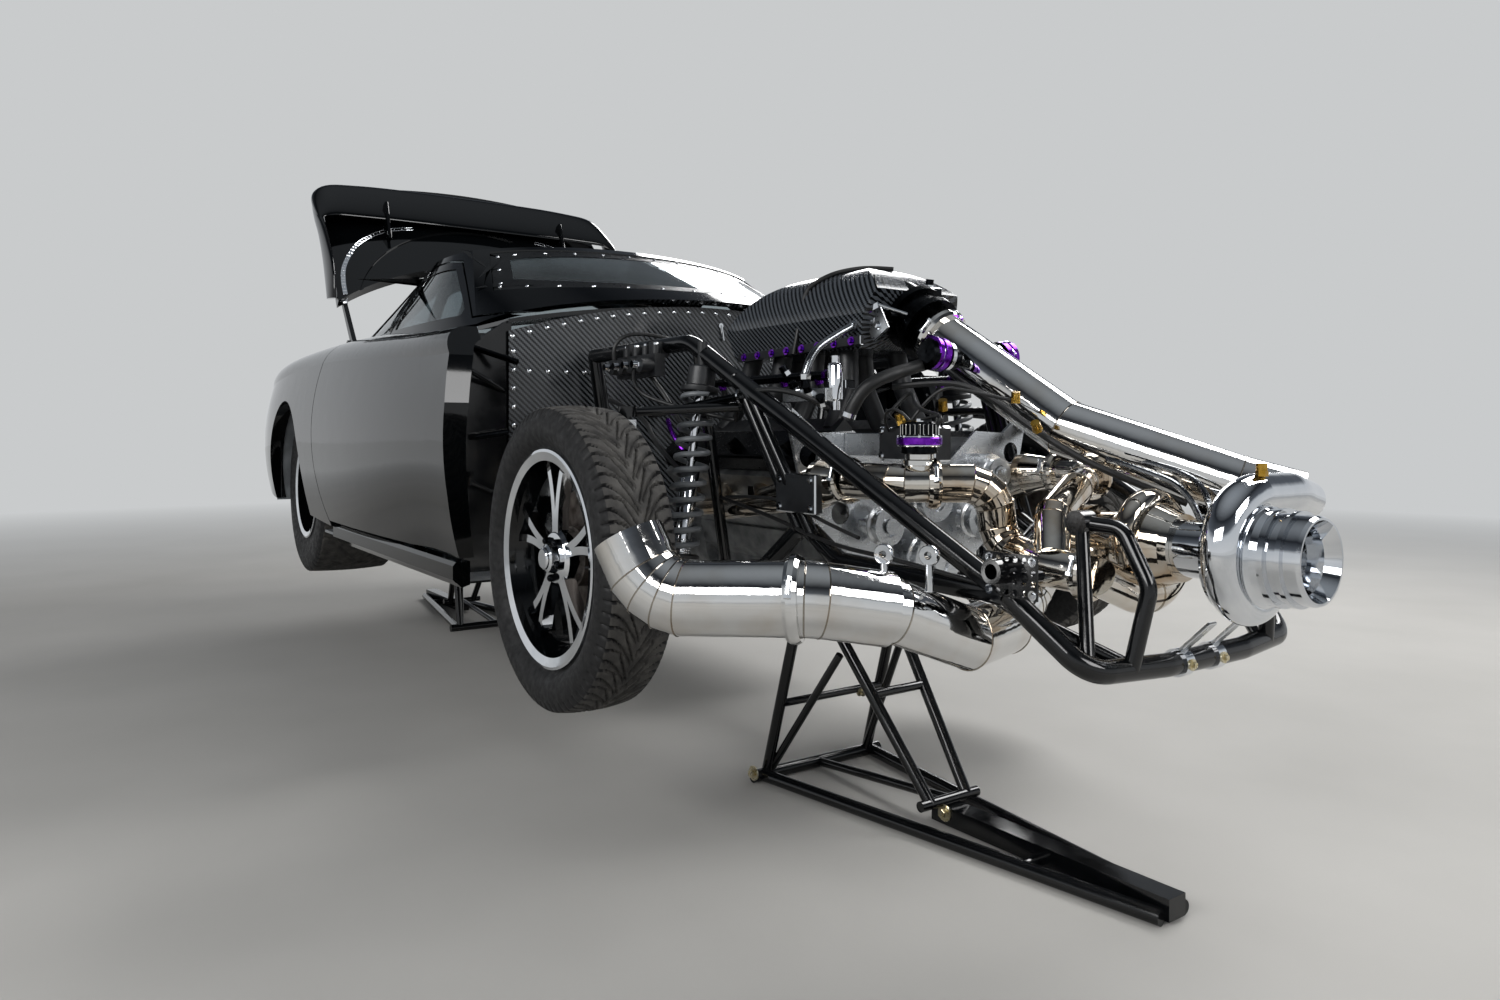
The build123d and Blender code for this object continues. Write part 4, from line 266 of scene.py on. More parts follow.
nodeFinishes = [
    (lacquer, "body_shell door_left door_right decklid rear_wing side_sills"),
    (polycarbonate, "fixed_glass door_glass_left door_glass_right"),
    (redLens, "tail_lamps"),
    (coat, "cowl_pillars chassis_rails front_frame clip_mounts roll_cage control_arms rear_suspension"),
    (coat, "lid_hinges front_stand rear_stand"),
    (carbonSheet, "firewall"),
    (carbonDome, "intake_manifold"),
    (greyEnamel, "floor_pan rear_tubs drive_shaft front_dampers"),
    (plastic, "seat steering_wheel solenoid_bank"),
    (paleTrim, "dash_panel"),
    (castAlloy, "gearbox steering_rack engine_block cylinder_heads"),
    (milled, "knuckle_left knuckle_right motor_plate front_drive compressor_wheel"),
    (sidewallRubber, "front_tyre_left front_tyre_right rear_tyre_left rear_tyre_right"),
    (brightAlloy, "front_rim_left front_rim_right rear_rim_left rear_rim_right compressor_housing"),
    (hotSteel, "front_rotor_left front_rotor_right rear_axle"),
    (blackAnodised, "valve_covers throttle_body blow_off_valves"),
    (warmStainless, "exhaust_manifolds hot_pipes wastegates turbine_housing"),
    (stainless, "charge_pipe exhaust_pipe"),
]
for material, names in nodeFinishes:
    for name in names.split():
        nodes[name].data.materials.clear()
        nodes[name].data.materials.append(material)


def refinish(name, choices):
    # gives the faces of a CAD node whose centre passes a test another finish; the mesh stays as it is
    mesh = nodes[name].data
    for index, (material, test) in enumerate(choices, 1):
        mesh.materials.append(material)
        for face in mesh.polygons:
            if test(face.center):
                face.material_index = index


# Mesh helpers

def keep(bm, name, body, slotName, *materials, crease=35):
    # turns a finished bmesh into a piece that rides on a body
    mesh = bpy.data.meshes.new(name)
    bm.to_mesh(mesh)
    bm.free()
    for material in materials:
        mesh.materials.append(material)
    mesh.polygons.foreach_set("use_smooth", [True] * len(mesh.polygons))
    mesh.set_sharp_from_angle(angle=math.radians(crease))
    piece = bpy.data.objects.new(name, mesh)
    bpy.context.scene.collection.objects.link(piece)
    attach(piece, body)
    return piece


def facing(origin, direction):
    # the place whose Z points along a direction
    return Matrix.Translation(origin) @ Vector(direction).to_track_quat("Z", "Y").to_matrix().to_4x4()


def turnedForm(bm, place, profile, steps=24, finish=0):
    # revolves a profile of (radius, height) round the Z of a place
    points = [bm.verts.new((radius, 0, height)) for radius, height in profile]
    edges = [bm.edges.new(pair) for pair in zip(points, points[1:])]
    bmesh.ops.spin(bm, geom=points + edges, cent=(0, 0, 0), axis=(0, 0, 1), dvec=(0, 0, 0),
                   angle=math.tau, steps=steps, space=Matrix.Identity(4), use_merge=True, use_duplicate=False)
    faces = set()
    stack = [v for v in points if v.is_valid]
    seen = set(stack)
    while stack:
        v = stack.pop()
        for f in v.link_faces:
            faces.add(f)
            for w in f.verts:
                if w not in seen:
                    seen.add(w)
                    stack.append(w)
    bmesh.ops.remove_doubles(bm, verts=list(seen), dist=0.00002)
    faces = [f for f in faces if f.is_valid]
    verts = list({v for f in faces for v in f.verts})
    bmesh.ops.recalc_face_normals(bm, faces=faces)
    for f in faces:
        f.material_index = finish
    bmesh.ops.transform(bm, matrix=place, verts=verts)


def setFinish(verts, finish):
    for f in {f for v in verts for f in v.link_faces}:
        f.material_index = finish


def hexHead(bm, place, radius, height, finish=0):
    # a hexagon head or nut, slightly narrower at its top
    made = bmesh.ops.create_cone(bm, cap_ends=True, segments=6, radius1=radius, radius2=radius * 0.94,
                                 depth=height, matrix=place @ Matrix.Translation((0, 0, height / 2)))
    setFinish(made["verts"], finish)


def dome(bm, place, radius, height, finish=0):
    # a button head: half a flattened ball
    made = bmesh.ops.create_uvsphere(bm, u_segments=10, v_segments=6, radius=radius,
                                     matrix=place @ Matrix.Diagonal((1, 1, height / radius, 1)))
    setFinish(made["verts"], finish)


def addRoute(bm, points, radius, closed=False, straight=False, roundness=3, steps=6, finish=0):
    # a round bar, hose or wire along points
    curve = bpy.data.curves.new("route", "CURVE")
    curve.dimensions = "3D"
    spline = curve.splines.new("POLY" if straight else "NURBS")
    spline.points.add(len(points) - 1)
    for knot, point in zip(spline.points, points):
        knot.co = (*point, 1)
    spline.use_cyclic_u = closed
    if not straight:
        spline.order_u = 3
        spline.use_endpoint_u = not closed
    curve.resolution_u = steps
    curve.bevel_depth = radius
    curve.bevel_resolution = roundness
    curve.use_fill_caps = not closed
    holder = bpy.data.objects.new("route", curve)
    mesh = bpy.data.meshes.new_from_object(holder)
    before = len(bm.faces)
    bm.from_mesh(mesh)
    bm.faces.ensure_lookup_table()
    made = bm.faces[before:]
    for face in made:
        face.material_index = finish
    bmesh.ops.remove_doubles(bm, verts=list({v for f in made for v in f.verts}), dist=0.00002)
    bmesh.ops.recalc_face_normals(bm, faces=[f for f in made if f.is_valid])
    bpy.data.objects.remove(holder)
    bpy.data.curves.remove(curve)
    bpy.data.meshes.remove(mesh)


def treeOf(*names):
    # a ray-cast tree of one or more CAD nodes
    points, faces = [], []
    for name in names:
        mesh = nodes[name].data
        shift = len(points)
        points += [v.co.copy() for v in mesh.vertices]
        faces += [[i + shift for i in p.vertices] for p in mesh.polygons]
    return BVHTree.FromPolygons(points, faces)


def hit(tree, origin, direction):
    # where a ray meets the tree and the normal that looks back along it, or nothing twice
    place, normal = tree.ray_cast(Vector(origin), Vector(direction).normalized())[:2]
    if place is None:
        return None, None
    if normal.dot(Vector(direction)) > 0:
        normal = -normal
    return place, normal


# Tyres with their tread cut in

treadDesign = {
    "front": {"radius": 0.33, "width": 0.165, "tread": 0.134, "bead": 0.218, "beadWidth": 0.124,
              "x": 0.0, "y": 0.757, "z": 0.63, "steps": 480, "across": 50, "pitches": 40, "depth": 0.0065,
              "groove": 0.0052},
    "rear": {"radius": 0.358, "width": 0.32, "tread": 0.292, "bead": 0.192, "beadWidth": 0.3,
             "x": -wheelbase, "y": 0.64, "z": 0.658, "steps": 384, "across": 64, "pitches": 34,
             "depth": 0.004, "groove": 0.005},
}


def grooveDepth(turn, across, design):
    # how deep the tread is cut at a turn round the tyre and a place across it, both as shares
    half = design["tread"] / 2
    t = abs(across) / half
    pitchLength = math.tau * design["radius"] / design["pitches"]
    stagger = 0.5 if across > 0 else 0.0
    deepest = 0.0
    rows = [
        # start t, end t, shift, sweep, power, width share
        (0.10, 1.3, 0.0, 1.5, 1.7, 1.0),
        (0.42, 1.3, 0.5, 1.15, 2.2, 0.8),
        (-0.1, 0.52, 0.35, 2.6, 1.15, 0.7),
    ]
    for start, end, shift, sweep, power, share in rows:
        if not start <= t <= end:
            continue
        inner = max(0.0, 1 - t)
        lead = sweep * inner ** power
        slope = sweep * power * inner ** (power - 1) * pitchLength / half if inner > 0 else 0
        phase = turn * design["pitches"] - lead + shift + stagger
        offset = abs(phase - round(phase)) * pitchLength / math.hypot(1, slope)
        edge = design["groove"] * share / 2
        if offset < edge * 1.5:
            deepest = max(deepest, min(1.0, (edge * 1.5 - offset) / (edge * 0.7)))
    return deepest * design["depth"]


def arcPoints(start, middle, end, count):
    # points along the arc through three places in a plane
    (ax, ay), (bx, by), (cx, cy) = start, middle, end
    d = 2 * (ax * (by - cy) + bx * (cy - ay) + cx * (ay - by))
    a, b, c = ax ** 2 + ay ** 2, bx ** 2 + by ** 2, cx ** 2 + cy ** 2
    ux = (a * (by - cy) + b * (cy - ay) + c * (ay - by)) / d
    uy = (a * (cx - bx) + b * (ax - cx) + c * (bx - ax)) / d
    radius = math.hypot(ax - ux, ay - uy)
    first = math.atan2(ay - uy, ax - ux)
    passing = (math.atan2(by - uy, bx - ux) - first) % math.tau
    last = (math.atan2(cy - uy, cx - ux) - first) % math.tau
    if passing > last:
        last -= math.tau
    turns = [first + last * k / count for k in range(count + 1)]
    return [(ux + radius * math.cos(turn), uy + radius * math.sin(turn)) for turn in turns]


def makeTyre(kind, side, s):
    # a closed carcass turned from arcs, its tread then cut in
    design = treadDesign[kind]
    radius, width, tread, bead = design["radius"], design["width"], design["tread"], design["bead"]
    crown, shoulderDrop, shoulderOut, beadTop = 0.006, 0.020, 0.012, bead + 0.022
    wall = (radius + bead) / 2
    half = design["beadWidth"] / 2
    top = arcPoints((-tread / 2, radius - crown), (0, radius), (tread / 2, radius - crown), design["across"])
    shoulder = (tread / 2 + shoulderOut, radius - crown - shoulderDrop)
    chamfer = [(tread / 2 + shoulderOut * k / 5, radius - crown - shoulderDrop * (k / 5) ** 1.5)
               for k in range(1, 5)]
    flank = arcPoints(shoulder, (width / 2, wall), (half, beadTop), 9)
    profile = ([(-v, r) for v, r in flank[::-1]] + [(-v, r) for v, r in chamfer[::-1]] + top + chamfer + flank
               + [(half, bead), (-half, bead)])
    bm = bmesh.new()
    points = [bm.verts.new((r, v, 0)) for v, r in profile]
    edges = [bm.edges.new(pair) for pair in zip(points, points[1:] + points[:1])]
    bmesh.ops.spin(bm, geom=points + edges, cent=(0, 0, 0), axis=(0, 1, 0), dvec=(0, 0, 0), angle=math.tau,
                   steps=design["steps"], space=Matrix.Identity(4), use_merge=True, use_duplicate=False)
    for v in bm.verts:
        reach = math.hypot(v.co.x, v.co.z)
        if reach > radius - crown - shoulderDrop * 0.9:
            turn = math.atan2(v.co.x, v.co.z) / math.tau
            cut = grooveDepth(turn, v.co.y * s, design)
            v.co.x *= (reach - cut) / reach
            v.co.z *= (reach - cut) / reach
    bmesh.ops.recalc_face_normals(bm, faces=bm.faces)
    for f in bm.faces:
        centre = f.calc_center_median()
        reach = math.hypot(centre.x, centre.z)
        f.material_index = 1 if abs(centre.y) < tread / 2 + 0.004 and reach > radius - crown - 0.002 else 0
    bmesh.ops.translate(bm, verts=bm.verts, vec=at(design["x"], s * design["y"], design["z"]))
    body = f"{kind}_wheel_{side.lower()}"
    piece = keep(bm, f"{kind}Tread{side}", body, "tyre_rubber", sidewallRubber, treadRubber, crease=50)
    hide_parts(f"{kind}_tyre_{side.lower()}")


for kind in treadDesign:
    for side, s in sides.items():
        makeTyre(kind, side, s)
print("tyres made")


# Wheels: black paint on the barrels behind the polished spokes as painted shade, centre caps, wheel nuts and
# valves

wheelFace = {
    "front": {"x": 0.0, "y": 0.757, "z": 0.63, "face": 0.044, "bead": 0.218, "nutCircle": 0.043,
              "nutRadius": 0.0085, "nutHeight": 0.018, "hubFace": 0.004, "barrelFace": 0.757 + 0.066},
    "rear": {"x": -wheelbase, "y": 0.64, "z": 0.658, "face": 0.020, "bead": 0.192, "nutCircle": 0.050,
             "nutRadius": 0.010, "nutHeight": 0.018, "hubFace": 0.004, "barrelFace": 0.64 + 0.154},
}
for kind, design in wheelFace.items():
    for side, s in sides.items():
        def shadedBarrel(centre, design=design):
            # a place on the barrel, behind the spokes, where black paint stands in for the shade inside the
            # wheel: painted shade
            reach = math.hypot(centre.x - axleX - design["x"], centre.z - design["z"]) - design["bead"]
            return -0.030 < reach < 0.012 and abs(centre.y) < design["barrelFace"]

        # the barrels take the black paint: painted shade inside the wheel, not a finish of its own
        refinish(f"{kind}_rim_{side.lower()}", [(lacquer, shadedBarrel)])
        bm = bmesh.new()
        front = at(design["x"], s * (design["y"] + design["face"]), design["z"])
        hub = facing(front, (0, s, 0))
        turnedForm(bm, hub, [(0.0, 0.030), (0.020, 0.030), (0.0235, 0.0275), (0.0245, 0.0245),
                             (0.0245, 0.0235)], 40)
        for k in range(5):
            turn = math.tau * (k + 0.5) / 5
            circle = design["nutCircle"]
            nut = hub @ Matrix.Translation((circle * math.sin(turn), circle * math.cos(turn),
                                            design["hubFace"] - 0.008))
            hexHead(bm, nut, design["nutRadius"], design["nutHeight"], 1)
            top = nut @ Matrix.Translation((0, 0, design["nutHeight"]))
            dome(bm, top, design["nutRadius"] * 0.8, 0.004, 1)
        valve = at(design["x"], s * (design["y"] + design["face"] - 0.006), design["z"])
        stem = facing(valve + Vector((design["bead"] - 0.024, 0, 0)), (-0.5, s, 0))
        turnedForm(bm, stem, [(0.0, 0.026), (0.003, 0.026), (0.003, 0.012), (0.0045, 0.012), (0.0055, 0.0),
                              (0.0, 0.0)], 12, 2)
        keep(bm, f"{kind}WheelTrim{side}", f"{kind}_wheel_{side.lower()}", "polished_aluminium", brightAlloy,
             blackAnodised, plastic)
print("wheels dressed")


# Front damper units with wound coil springs

dampers = {"top": (0.0, 0.424, 1.058), "bottom": (0.0, 0.5, 0.524), "coilRadius": 0.0375, "wire": 0.0066,
           "turns": 10.5, "stepsPerTurn": 28, "threads": (0.096, 0.102, 0.108, 0.114, 0.120, 0.126)}


def makeDamper(s):
    # body, spring seats, cap, wound coil and top pin
    bottom, top = (at(x, s * y, z) for x, y, z in (dampers["bottom"], dampers["top"]))
    length = (top - bottom).length
    place = facing(bottom, top - bottom)
    bm = bmesh.new()
    turnedForm(bm, place, [
        (0.0, 0.0), (0.013, 0.0), (0.013, 0.022), (0.023, 0.024), (0.0245, 0.028), (0.0245, 0.085),
        (0.0235, 0.09), (0.0235, 0.29), (0.020, 0.295), (0.011, 0.297), (0.011, length - 0.04),
        (0.0, length - 0.04)], 28, 0)
    for level in dampers["threads"]:
        turnedForm(bm, place @ Matrix.Translation((0, 0, level)), [
            (0.0225, 0.0), (0.0255, 0.0015), (0.0255, 0.003), (0.0225, 0.0045), (0.0225, 0.0)], 24, 0)
    turnedForm(bm, place @ Matrix.Translation((0, 0, 0.086)), [
        (0.022, 0.0), (0.044, 0.0), (0.045, 0.002), (0.045, 0.007), (0.038, 0.010), (0.022, 0.010),
        (0.022, 0.0)], 32, 1)
    turnedForm(bm, place @ Matrix.Translation((0, 0, length - 0.062)), [
        (0.0, 0.0), (0.044, 0.0), (0.045, 0.003), (0.045, 0.012), (0.034, 0.016), (0.033, 0.058),
        (0.030, 0.062), (0.0, 0.062)], 32, 1)
    start, end = 0.100, length - 0.066
    wirePlace = Matrix.Translation((dampers["coilRadius"], 0, start)) @ Matrix.Rotation(math.pi / 2, 4, "X")
    ring = bmesh.ops.create_circle(bm, cap_ends=False, segments=10, radius=dampers["wire"],
                                   matrix=wirePlace)["verts"]
    edges = list({e for v in ring for e in v.link_edges})
    steps = int(dampers["turns"] * dampers["stepsPerTurn"])
    before = set(bm.verts) - set(ring)
    bmesh.ops.spin(bm, geom=ring + edges, cent=(0, 0, 0), axis=(0, 0, 1), dvec=(0, 0, (end - start) / steps),
                   angle=math.tau * dampers["turns"], steps=steps, space=Matrix.Identity(4), use_merge=False,
                   use_duplicate=False)
    coil = [v for v in bm.verts if v not in before]
    faces = list({f for v in coil for f in v.link_faces})
    rims = [e for e in {e for f in faces for e in f.edges} if e.is_boundary]
    bmesh.ops.holes_fill(bm, edges=rims, sides=0)
    faces = list({f for v in coil for f in v.link_faces})
    bmesh.ops.recalc_face_normals(bm, faces=faces)
    for f in faces:
        f.material_index = 2
    bmesh.ops.transform(bm, matrix=place, verts=coil)
    pin = facing(at(0.0, s * 0.424, 1.047), (0, 0, 1))
    turnedForm(bm, pin, [(0.0, 0.0), (0.012, 0.0), (0.012, 0.07), (0.0, 0.07)], 20, 1)
    return bm


joined = bmesh.new()
for s in sides.values():
    part = makeDamper(s)
    mesh = bpy.data.meshes.new("part")
    part.to_mesh(mesh)
    part.free()
    joined.from_mesh(mesh)
    bpy.data.meshes.remove(mesh)
damperPiece = keep(joined, "frontCoilDampers", "chassis", "grey_coat", brightAlloy, plastic, greyEnamel)
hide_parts("front_dampers")
print("dampers made")


# Window borders and their button heads

border = {"width": 0.062, "outerInset": 0.003, "thickness": 0.0006, "proud": 0.0007, "headRadius": 0.0065,
          "headHeight": 0.003, "headInset": 0.024, "spacing": 0.085, "samples": 64}


def planLoop(rows, count):
    # samples a closed plan outline given as runs of (x, y) places, arcs where a run has three
    loop = []
    for run in rows:
        if len(run) == 3:
            loop += arcPoints(*run, count)[:-1]
        else:
            (ax, ay), (bx, by) = run
            steps = max(2, count // 4)
            loop += [(ax + (bx - ax) * k / steps, ay + (by - ay) * k / steps) for k in range(steps)]
    return loop


def insetLoop(loop, distance):
    # moves each place of a closed loop inward by a distance
    middle = Vector((sum(x for x, y in loop), sum(y for x, y in loop))) / len(loop)
    moved = []
    for k, (x, y) in enumerate(loop):
        before, after = Vector(loop[k - 1]), Vector(loop[(k + 1) % len(loop)])
        run = (after - before).normalized()
        normal = Vector((-run.y, run.x))
        if normal.dot(middle - Vector((x, y))) < 0:
            normal = -normal
        moved.append((x + normal.x * distance, y + normal.y * distance))
    return moved


windows = {
    "windshieldBorder": [
        [(-0.975, -0.575), (-0.632, 0), (-0.975, 0.575)], [(-0.975, 0.575), (-1.196, 0.505)],
        [(-1.196, 0.505), (-1.098, 0), (-1.196, -0.505)], [(-1.196, -0.505), (-0.975, -0.575)]],
    "backlightBorder": [
        [(-1.835, -0.47), (-1.8, 0), (-1.835, 0.47)], [(-1.835, 0.47), (-2.265, 0.578)],
        [(-2.265, 0.578), (-2.59, 0), (-2.265, -0.578)], [(-2.265, -0.578), (-1.835, -0.47)]],
}
paneTree = treeOf("fixed_glass")
for name, rows in windows.items():
    loop = planLoop(rows, border["samples"])
    bm = bmesh.new()
    rings = []
    for inset in (border["outerInset"], border["width"] / 2, border["width"]):
        ring = []
        for x, y in insetLoop(loop, inset):
            place, normal = hit(paneTree, at(x, y, 2.2), (0, 0, -1))
            if place is not None:
                ring.append(bm.verts.new(place + normal * border["proud"]))
        rings.append(ring)
        for pair in zip(ring, ring[1:] + ring[:1]):
            bm.edges.new(pair)
    for a, b in zip(rings, rings[1:]):
        edges = [bm.edges.get(pair) for ring in (a, b) for pair in zip(ring, ring[1:] + ring[:1])]
        bmesh.ops.bridge_loops(bm, edges=edges)
    bmesh.ops.recalc_face_normals(bm, faces=bm.faces)
    bmesh.ops.solidify(bm, geom=bm.faces[:], thickness=border["thickness"])
    heads = insetLoop(loop, border["headInset"])
    travelled = border["spacing"]
    for (x, y), (nextX, nextY) in zip(heads, heads[1:] + heads[:1]):
        travelled += math.hypot(nextX - x, nextY - y)
        if travelled < border["spacing"]:
            continue
        travelled = 0.0
        place, normal = hit(paneTree, at(x, y, 2.2), (0, 0, -1))
        if place is not None:
            head = facing(place + normal * border["proud"], normal)
            dome(bm, head, border["headRadius"], border["headHeight"], 1)
    keep(bm, name, "chassis", "black_plastic", borderVinyl, brightAlloy)
print("window borders made")


# Button heads on the firewall

rivets = {"radius": 0.0075, "height": 0.0035, "topCount": 26, "topShare": 0.985, "topInset": 0.016,
          "spacing": 0.052, "edgeY": 0.628, "edgeTop": 1.13, "edgeCount": 12, "rowY": 0.585, "rowZ": 1.075,
          "rowCount": 8}
wallTree = treeOf("firewall")
bm = bmesh.new()


def wallHead(y, z):
    # a head on the firewall's front face
    place, normal = hit(wallTree, at(0.5, y, z), (-1, 0, 0))
    if place is not None:
        dome(bm, facing(place, normal), rivets["radius"], rivets["height"])


for y, z in arcPoints((-0.64, 1.188), (0, 1.287), (0.64, 1.188), rivets["topCount"]):
    wallHead(y * rivets["topShare"], z - rivets["topInset"])
for s in sides.values():
    for k in range(rivets["edgeCount"]):
        wallHead(s * rivets["edgeY"], rivets["edgeTop"] - k * rivets["spacing"])
    for k in range(rivets["rowCount"]):
        wallHead(s * (rivets["rowY"] - k * rivets["spacing"]), rivets["rowZ"])
keep(bm, "firewallHeads", "chassis", "polished_aluminium", brightAlloy)
print("firewall dressed")


# Weld beads on the mitred pipes

def pieCuts(corners, bendRadius, wedge=15):
    # the mitre places of a pipe whose corners are made of short straight runs
    points = [at(*p) for p in corners]
    result = [points[0]]
    for before, corner, after in zip(points, points[1:], points[2:]):
        inward, outward = (corner - before).normalized(), (after - corner).normalized()
        turn = inward.angle(outward)
        count = max(1, round(math.degrees(turn) / wedge))
        start = corner - inward * (bendRadius * math.tan(turn / 2))
        toward = (outward - inward * outward.dot(inward)).normalized()
        centre = start + toward * bendRadius
        reach = bendRadius / math.cos(turn / 2 / count)
        for k in range(count):
            angle = turn * (k + 0.5) / count
            result.append(centre - toward * (reach * math.cos(angle)) + inward * (reach * math.sin(angle)))
    result.append(points[-1])
    return result


mitredPipes = [
    # corners, radius, bend radius, wedge
    ([(0.35, 0, 1.13), (0.69, 0.03, 0.91), (0.99, 0.15, 0.8), (1.075, 0.203, 0.772)], 0.059, 0.15, 15),
    ([(0.436, -0.334, 0.802), (0.56, -0.318, 0.8), (0.67, -0.17, 0.8), (0.672, -0.15, 0.672),
      (0.8, -0.165, 0.65), (0.888, -0.15, 0.643)], 0.038, 0.062, 22),
    ([(0.436, 0.334, 0.802), (0.56, 0.318, 0.8), (0.64, 0.15, 0.792), (0.735, 0, 0.786), (0.775, -0.12, 0.74),
      (0.81, -0.165, 0.668)], 0.034, 0.062, 22),
    ([(0.7797, 0, 0.69), (0.68, 0, 0.69), (0.65, -0.07, 0.56), (0.73, -0.21, 0.535), (0.765, -0.345, 0.532),
      (0.745, -0.5, 0.592), (0.692, -0.645, 0.62)], 0.056, 0.07, 22),
    ([(0.74, -0.515, 0.597), (0.694, -0.64, 0.62), (0.49, -0.83, 0.612), (0.437, -0.855, 0.716)],
     0.065, 0.105, 15),
]
bead = 0.0015
bm = bmesh.new()
for corners, radius, bendRadius, wedge in mitredPipes:
    cuts = pieCuts(corners, bendRadius, wedge)
    for before, here, after in zip(cuts, cuts[1:], cuts[2:]):
        inward, outward = (here - before).normalized(), (after - here).normalized()
        across = outward - inward
        if across.length < 0.01:
            continue
        across.normalize()
        tangent = (inward + outward).normalized()
        third = tangent.cross(across)
        stretch = 1 / inward.dot(tangent)
        ring = [here + across * (radius * stretch * math.cos(t)) + third * (radius * math.sin(t))
                for t in (math.tau * k / 40 for k in range(40))]
        addRoute(bm, ring, bead, closed=True, straight=True, roundness=1)
keep(bm, "weldBeads", "chassis", "polished_steel", weldSteel)
print("weld beads made")


# Finishes inside nodes that hold more than one material

def valveReach(centre):
    # how far out along a blow-off valve a place is
    return (abs(centre.y) - 0.03) / 0.993


refinish("blow_off_valves", [
    (purple, lambda c: 0.0635 < valveReach(c) < 0.0785 or 0.0855 < valveReach(c) < 0.0975),
    (brightAlloy, lambda c: 0.0435 < valveReach(c) < 0.0545 or 0.0785 <= valveReach(c) <= 0.0855),
])
plenumFoot = 1.099  # below this height the plenum's base is plain plastic
refinish("intake_manifold", [(plastic, lambda c: c.z < plenumFoot)])


# More mesh helpers for the small parts

def rod(bm, start, end, radius, finish=0):
    # a straight round bar between two places
    length = (end - start).length
    place = facing(start, end - start) @ Matrix.Translation((0, 0, length / 2))
    made = bmesh.ops.create_cone(bm, cap_ends=True, segments=16, radius1=radius, radius2=radius, depth=length,
                                 matrix=place)
    setFinish(made["verts"], finish)


def slab(bm, place, size, finish=0, edge=0.0015):
    # a plate or block centred on a place, its edges broken
    made = bmesh.ops.create_cube(bm, size=1.0, matrix=place @ Matrix.Diagonal((*size, 1)))
    setFinish(made["verts"], finish)
    edges = list({e for v in made["verts"] for e in v.link_edges})
    bmesh.ops.bevel(bm, geom=edges, offset=edge, segments=1, affect="EDGES")


def plate(bm, start, end, across, thickness, width, finish=0):
    # a flat strip between two places; across points along its width
    run = (end - start).normalized()
    width3 = (Vector(across) - run * run.dot(Vector(across))).normalized()
    place = Matrix((run, width3, run.cross(width3))).transposed().to_4x4()
    place.translation = (start + end) / 2
    slab(bm, place, ((end - start).length, width, thickness), finish)


def hoseEnd(bm, place, direction, radius, nut=0, collar=1):
    # a hose fitting: a hexagon nut, a collar and a short socket
    here = facing(place, direction)
    hexHead(bm, here, radius * 1.25, radius * 1.1, nut)
    rod(bm, here @ Vector((0, 0, radius * 1.1)), here @ Vector((0, 0, radius * 2.6)), radius * 1.08, collar)


def bolt(bm, place, direction, radius, finish=0):
    # a washer under a hexagon head
    here = facing(place, direction)
    rod(bm, here @ Vector((0, 0, -0.001)), here @ Vector((0, 0, radius * 0.3)), radius * 1.7, finish)
    hexHead(bm, here @ Matrix.Translation((0, 0, radius * 0.3)), radius, radius * 0.9, finish)


# Rear wing: one ribbon swept up a leg, over the plank and down the other leg

wing = {"thickness": 0.038, "legThickness": 0.029, "legY": 0.720, "plankAhead": 0.05, "plankDrop": 0.011,
        "segments": 24, "between": 4, "strutTop": (-2.755, 0.43, 1.955), "strutThickness": 0.014,
        "strutWidth": 0.07, "strutSink": 0.002}
wingStations = [
    # y, rear edge (x, z), front edge (x, z)
    (0.735, (-2.548, 1.475), (-2.43, 1.468)), (0.735, (-2.59, 1.56), (-2.435, 1.56)),
    (0.735, (-2.638, 1.659), (-2.475, 1.65)), (0.737, (-2.72, 1.78), (-2.55, 1.74)),
    (0.738, (-2.84, 1.88), (-2.63, 1.80)), (0.735, (-2.905, 1.96), (-2.70, 1.845)),
    (0.715, (-2.925, 2.01), (-2.735, 1.865)), (0.66, (-2.93, 2.05), (-2.75, 1.885)),
    (0.55, (-2.932, 2.065), (-2.755, 1.89)), (0.3, (-2.934, 2.075), (-2.755, 1.893)),
]


def wingEdges():
    # the rear and front edge places from one foot to the other
    half = []
    for y, (rearX, rearZ), (frontX, frontZ) in wingStations:
        over = max(0.0, min(1.0, (frontZ - 1.74) / 0.12))
        ahead, drop = wing["plankAhead"] * over, wing["plankDrop"] * over
        half.append((min(y, wing["legY"]), (rearX + ahead, rearZ - drop), (frontX + ahead, frontZ - drop)))
    rows = half + [(-y, rear, front) for y, rear, front in half[::-1]]
    return [at(r[0], y, r[1]) for y, r, f in rows], [at(f[0], y, f[1]) for y, r, f in rows]


def smoothRun(points, between):
    # a curve through every point, with places in between
    run = []
    for k in range(len(points) - 1):
        before = points[max(0, k - 1)]
        here, there = points[k], points[k + 1]
        after = points[min(len(points) - 1, k + 2)]
        for j in range(between):
            t = j / between
            square = (2 * before - 5 * here + 4 * there - after) * t * t
            cube = (3 * here - before - 3 * there + after) * t ** 3
            run.append(0.5 * (2 * here + (there - before) * t + square + cube))
    return run + [points[-1]]


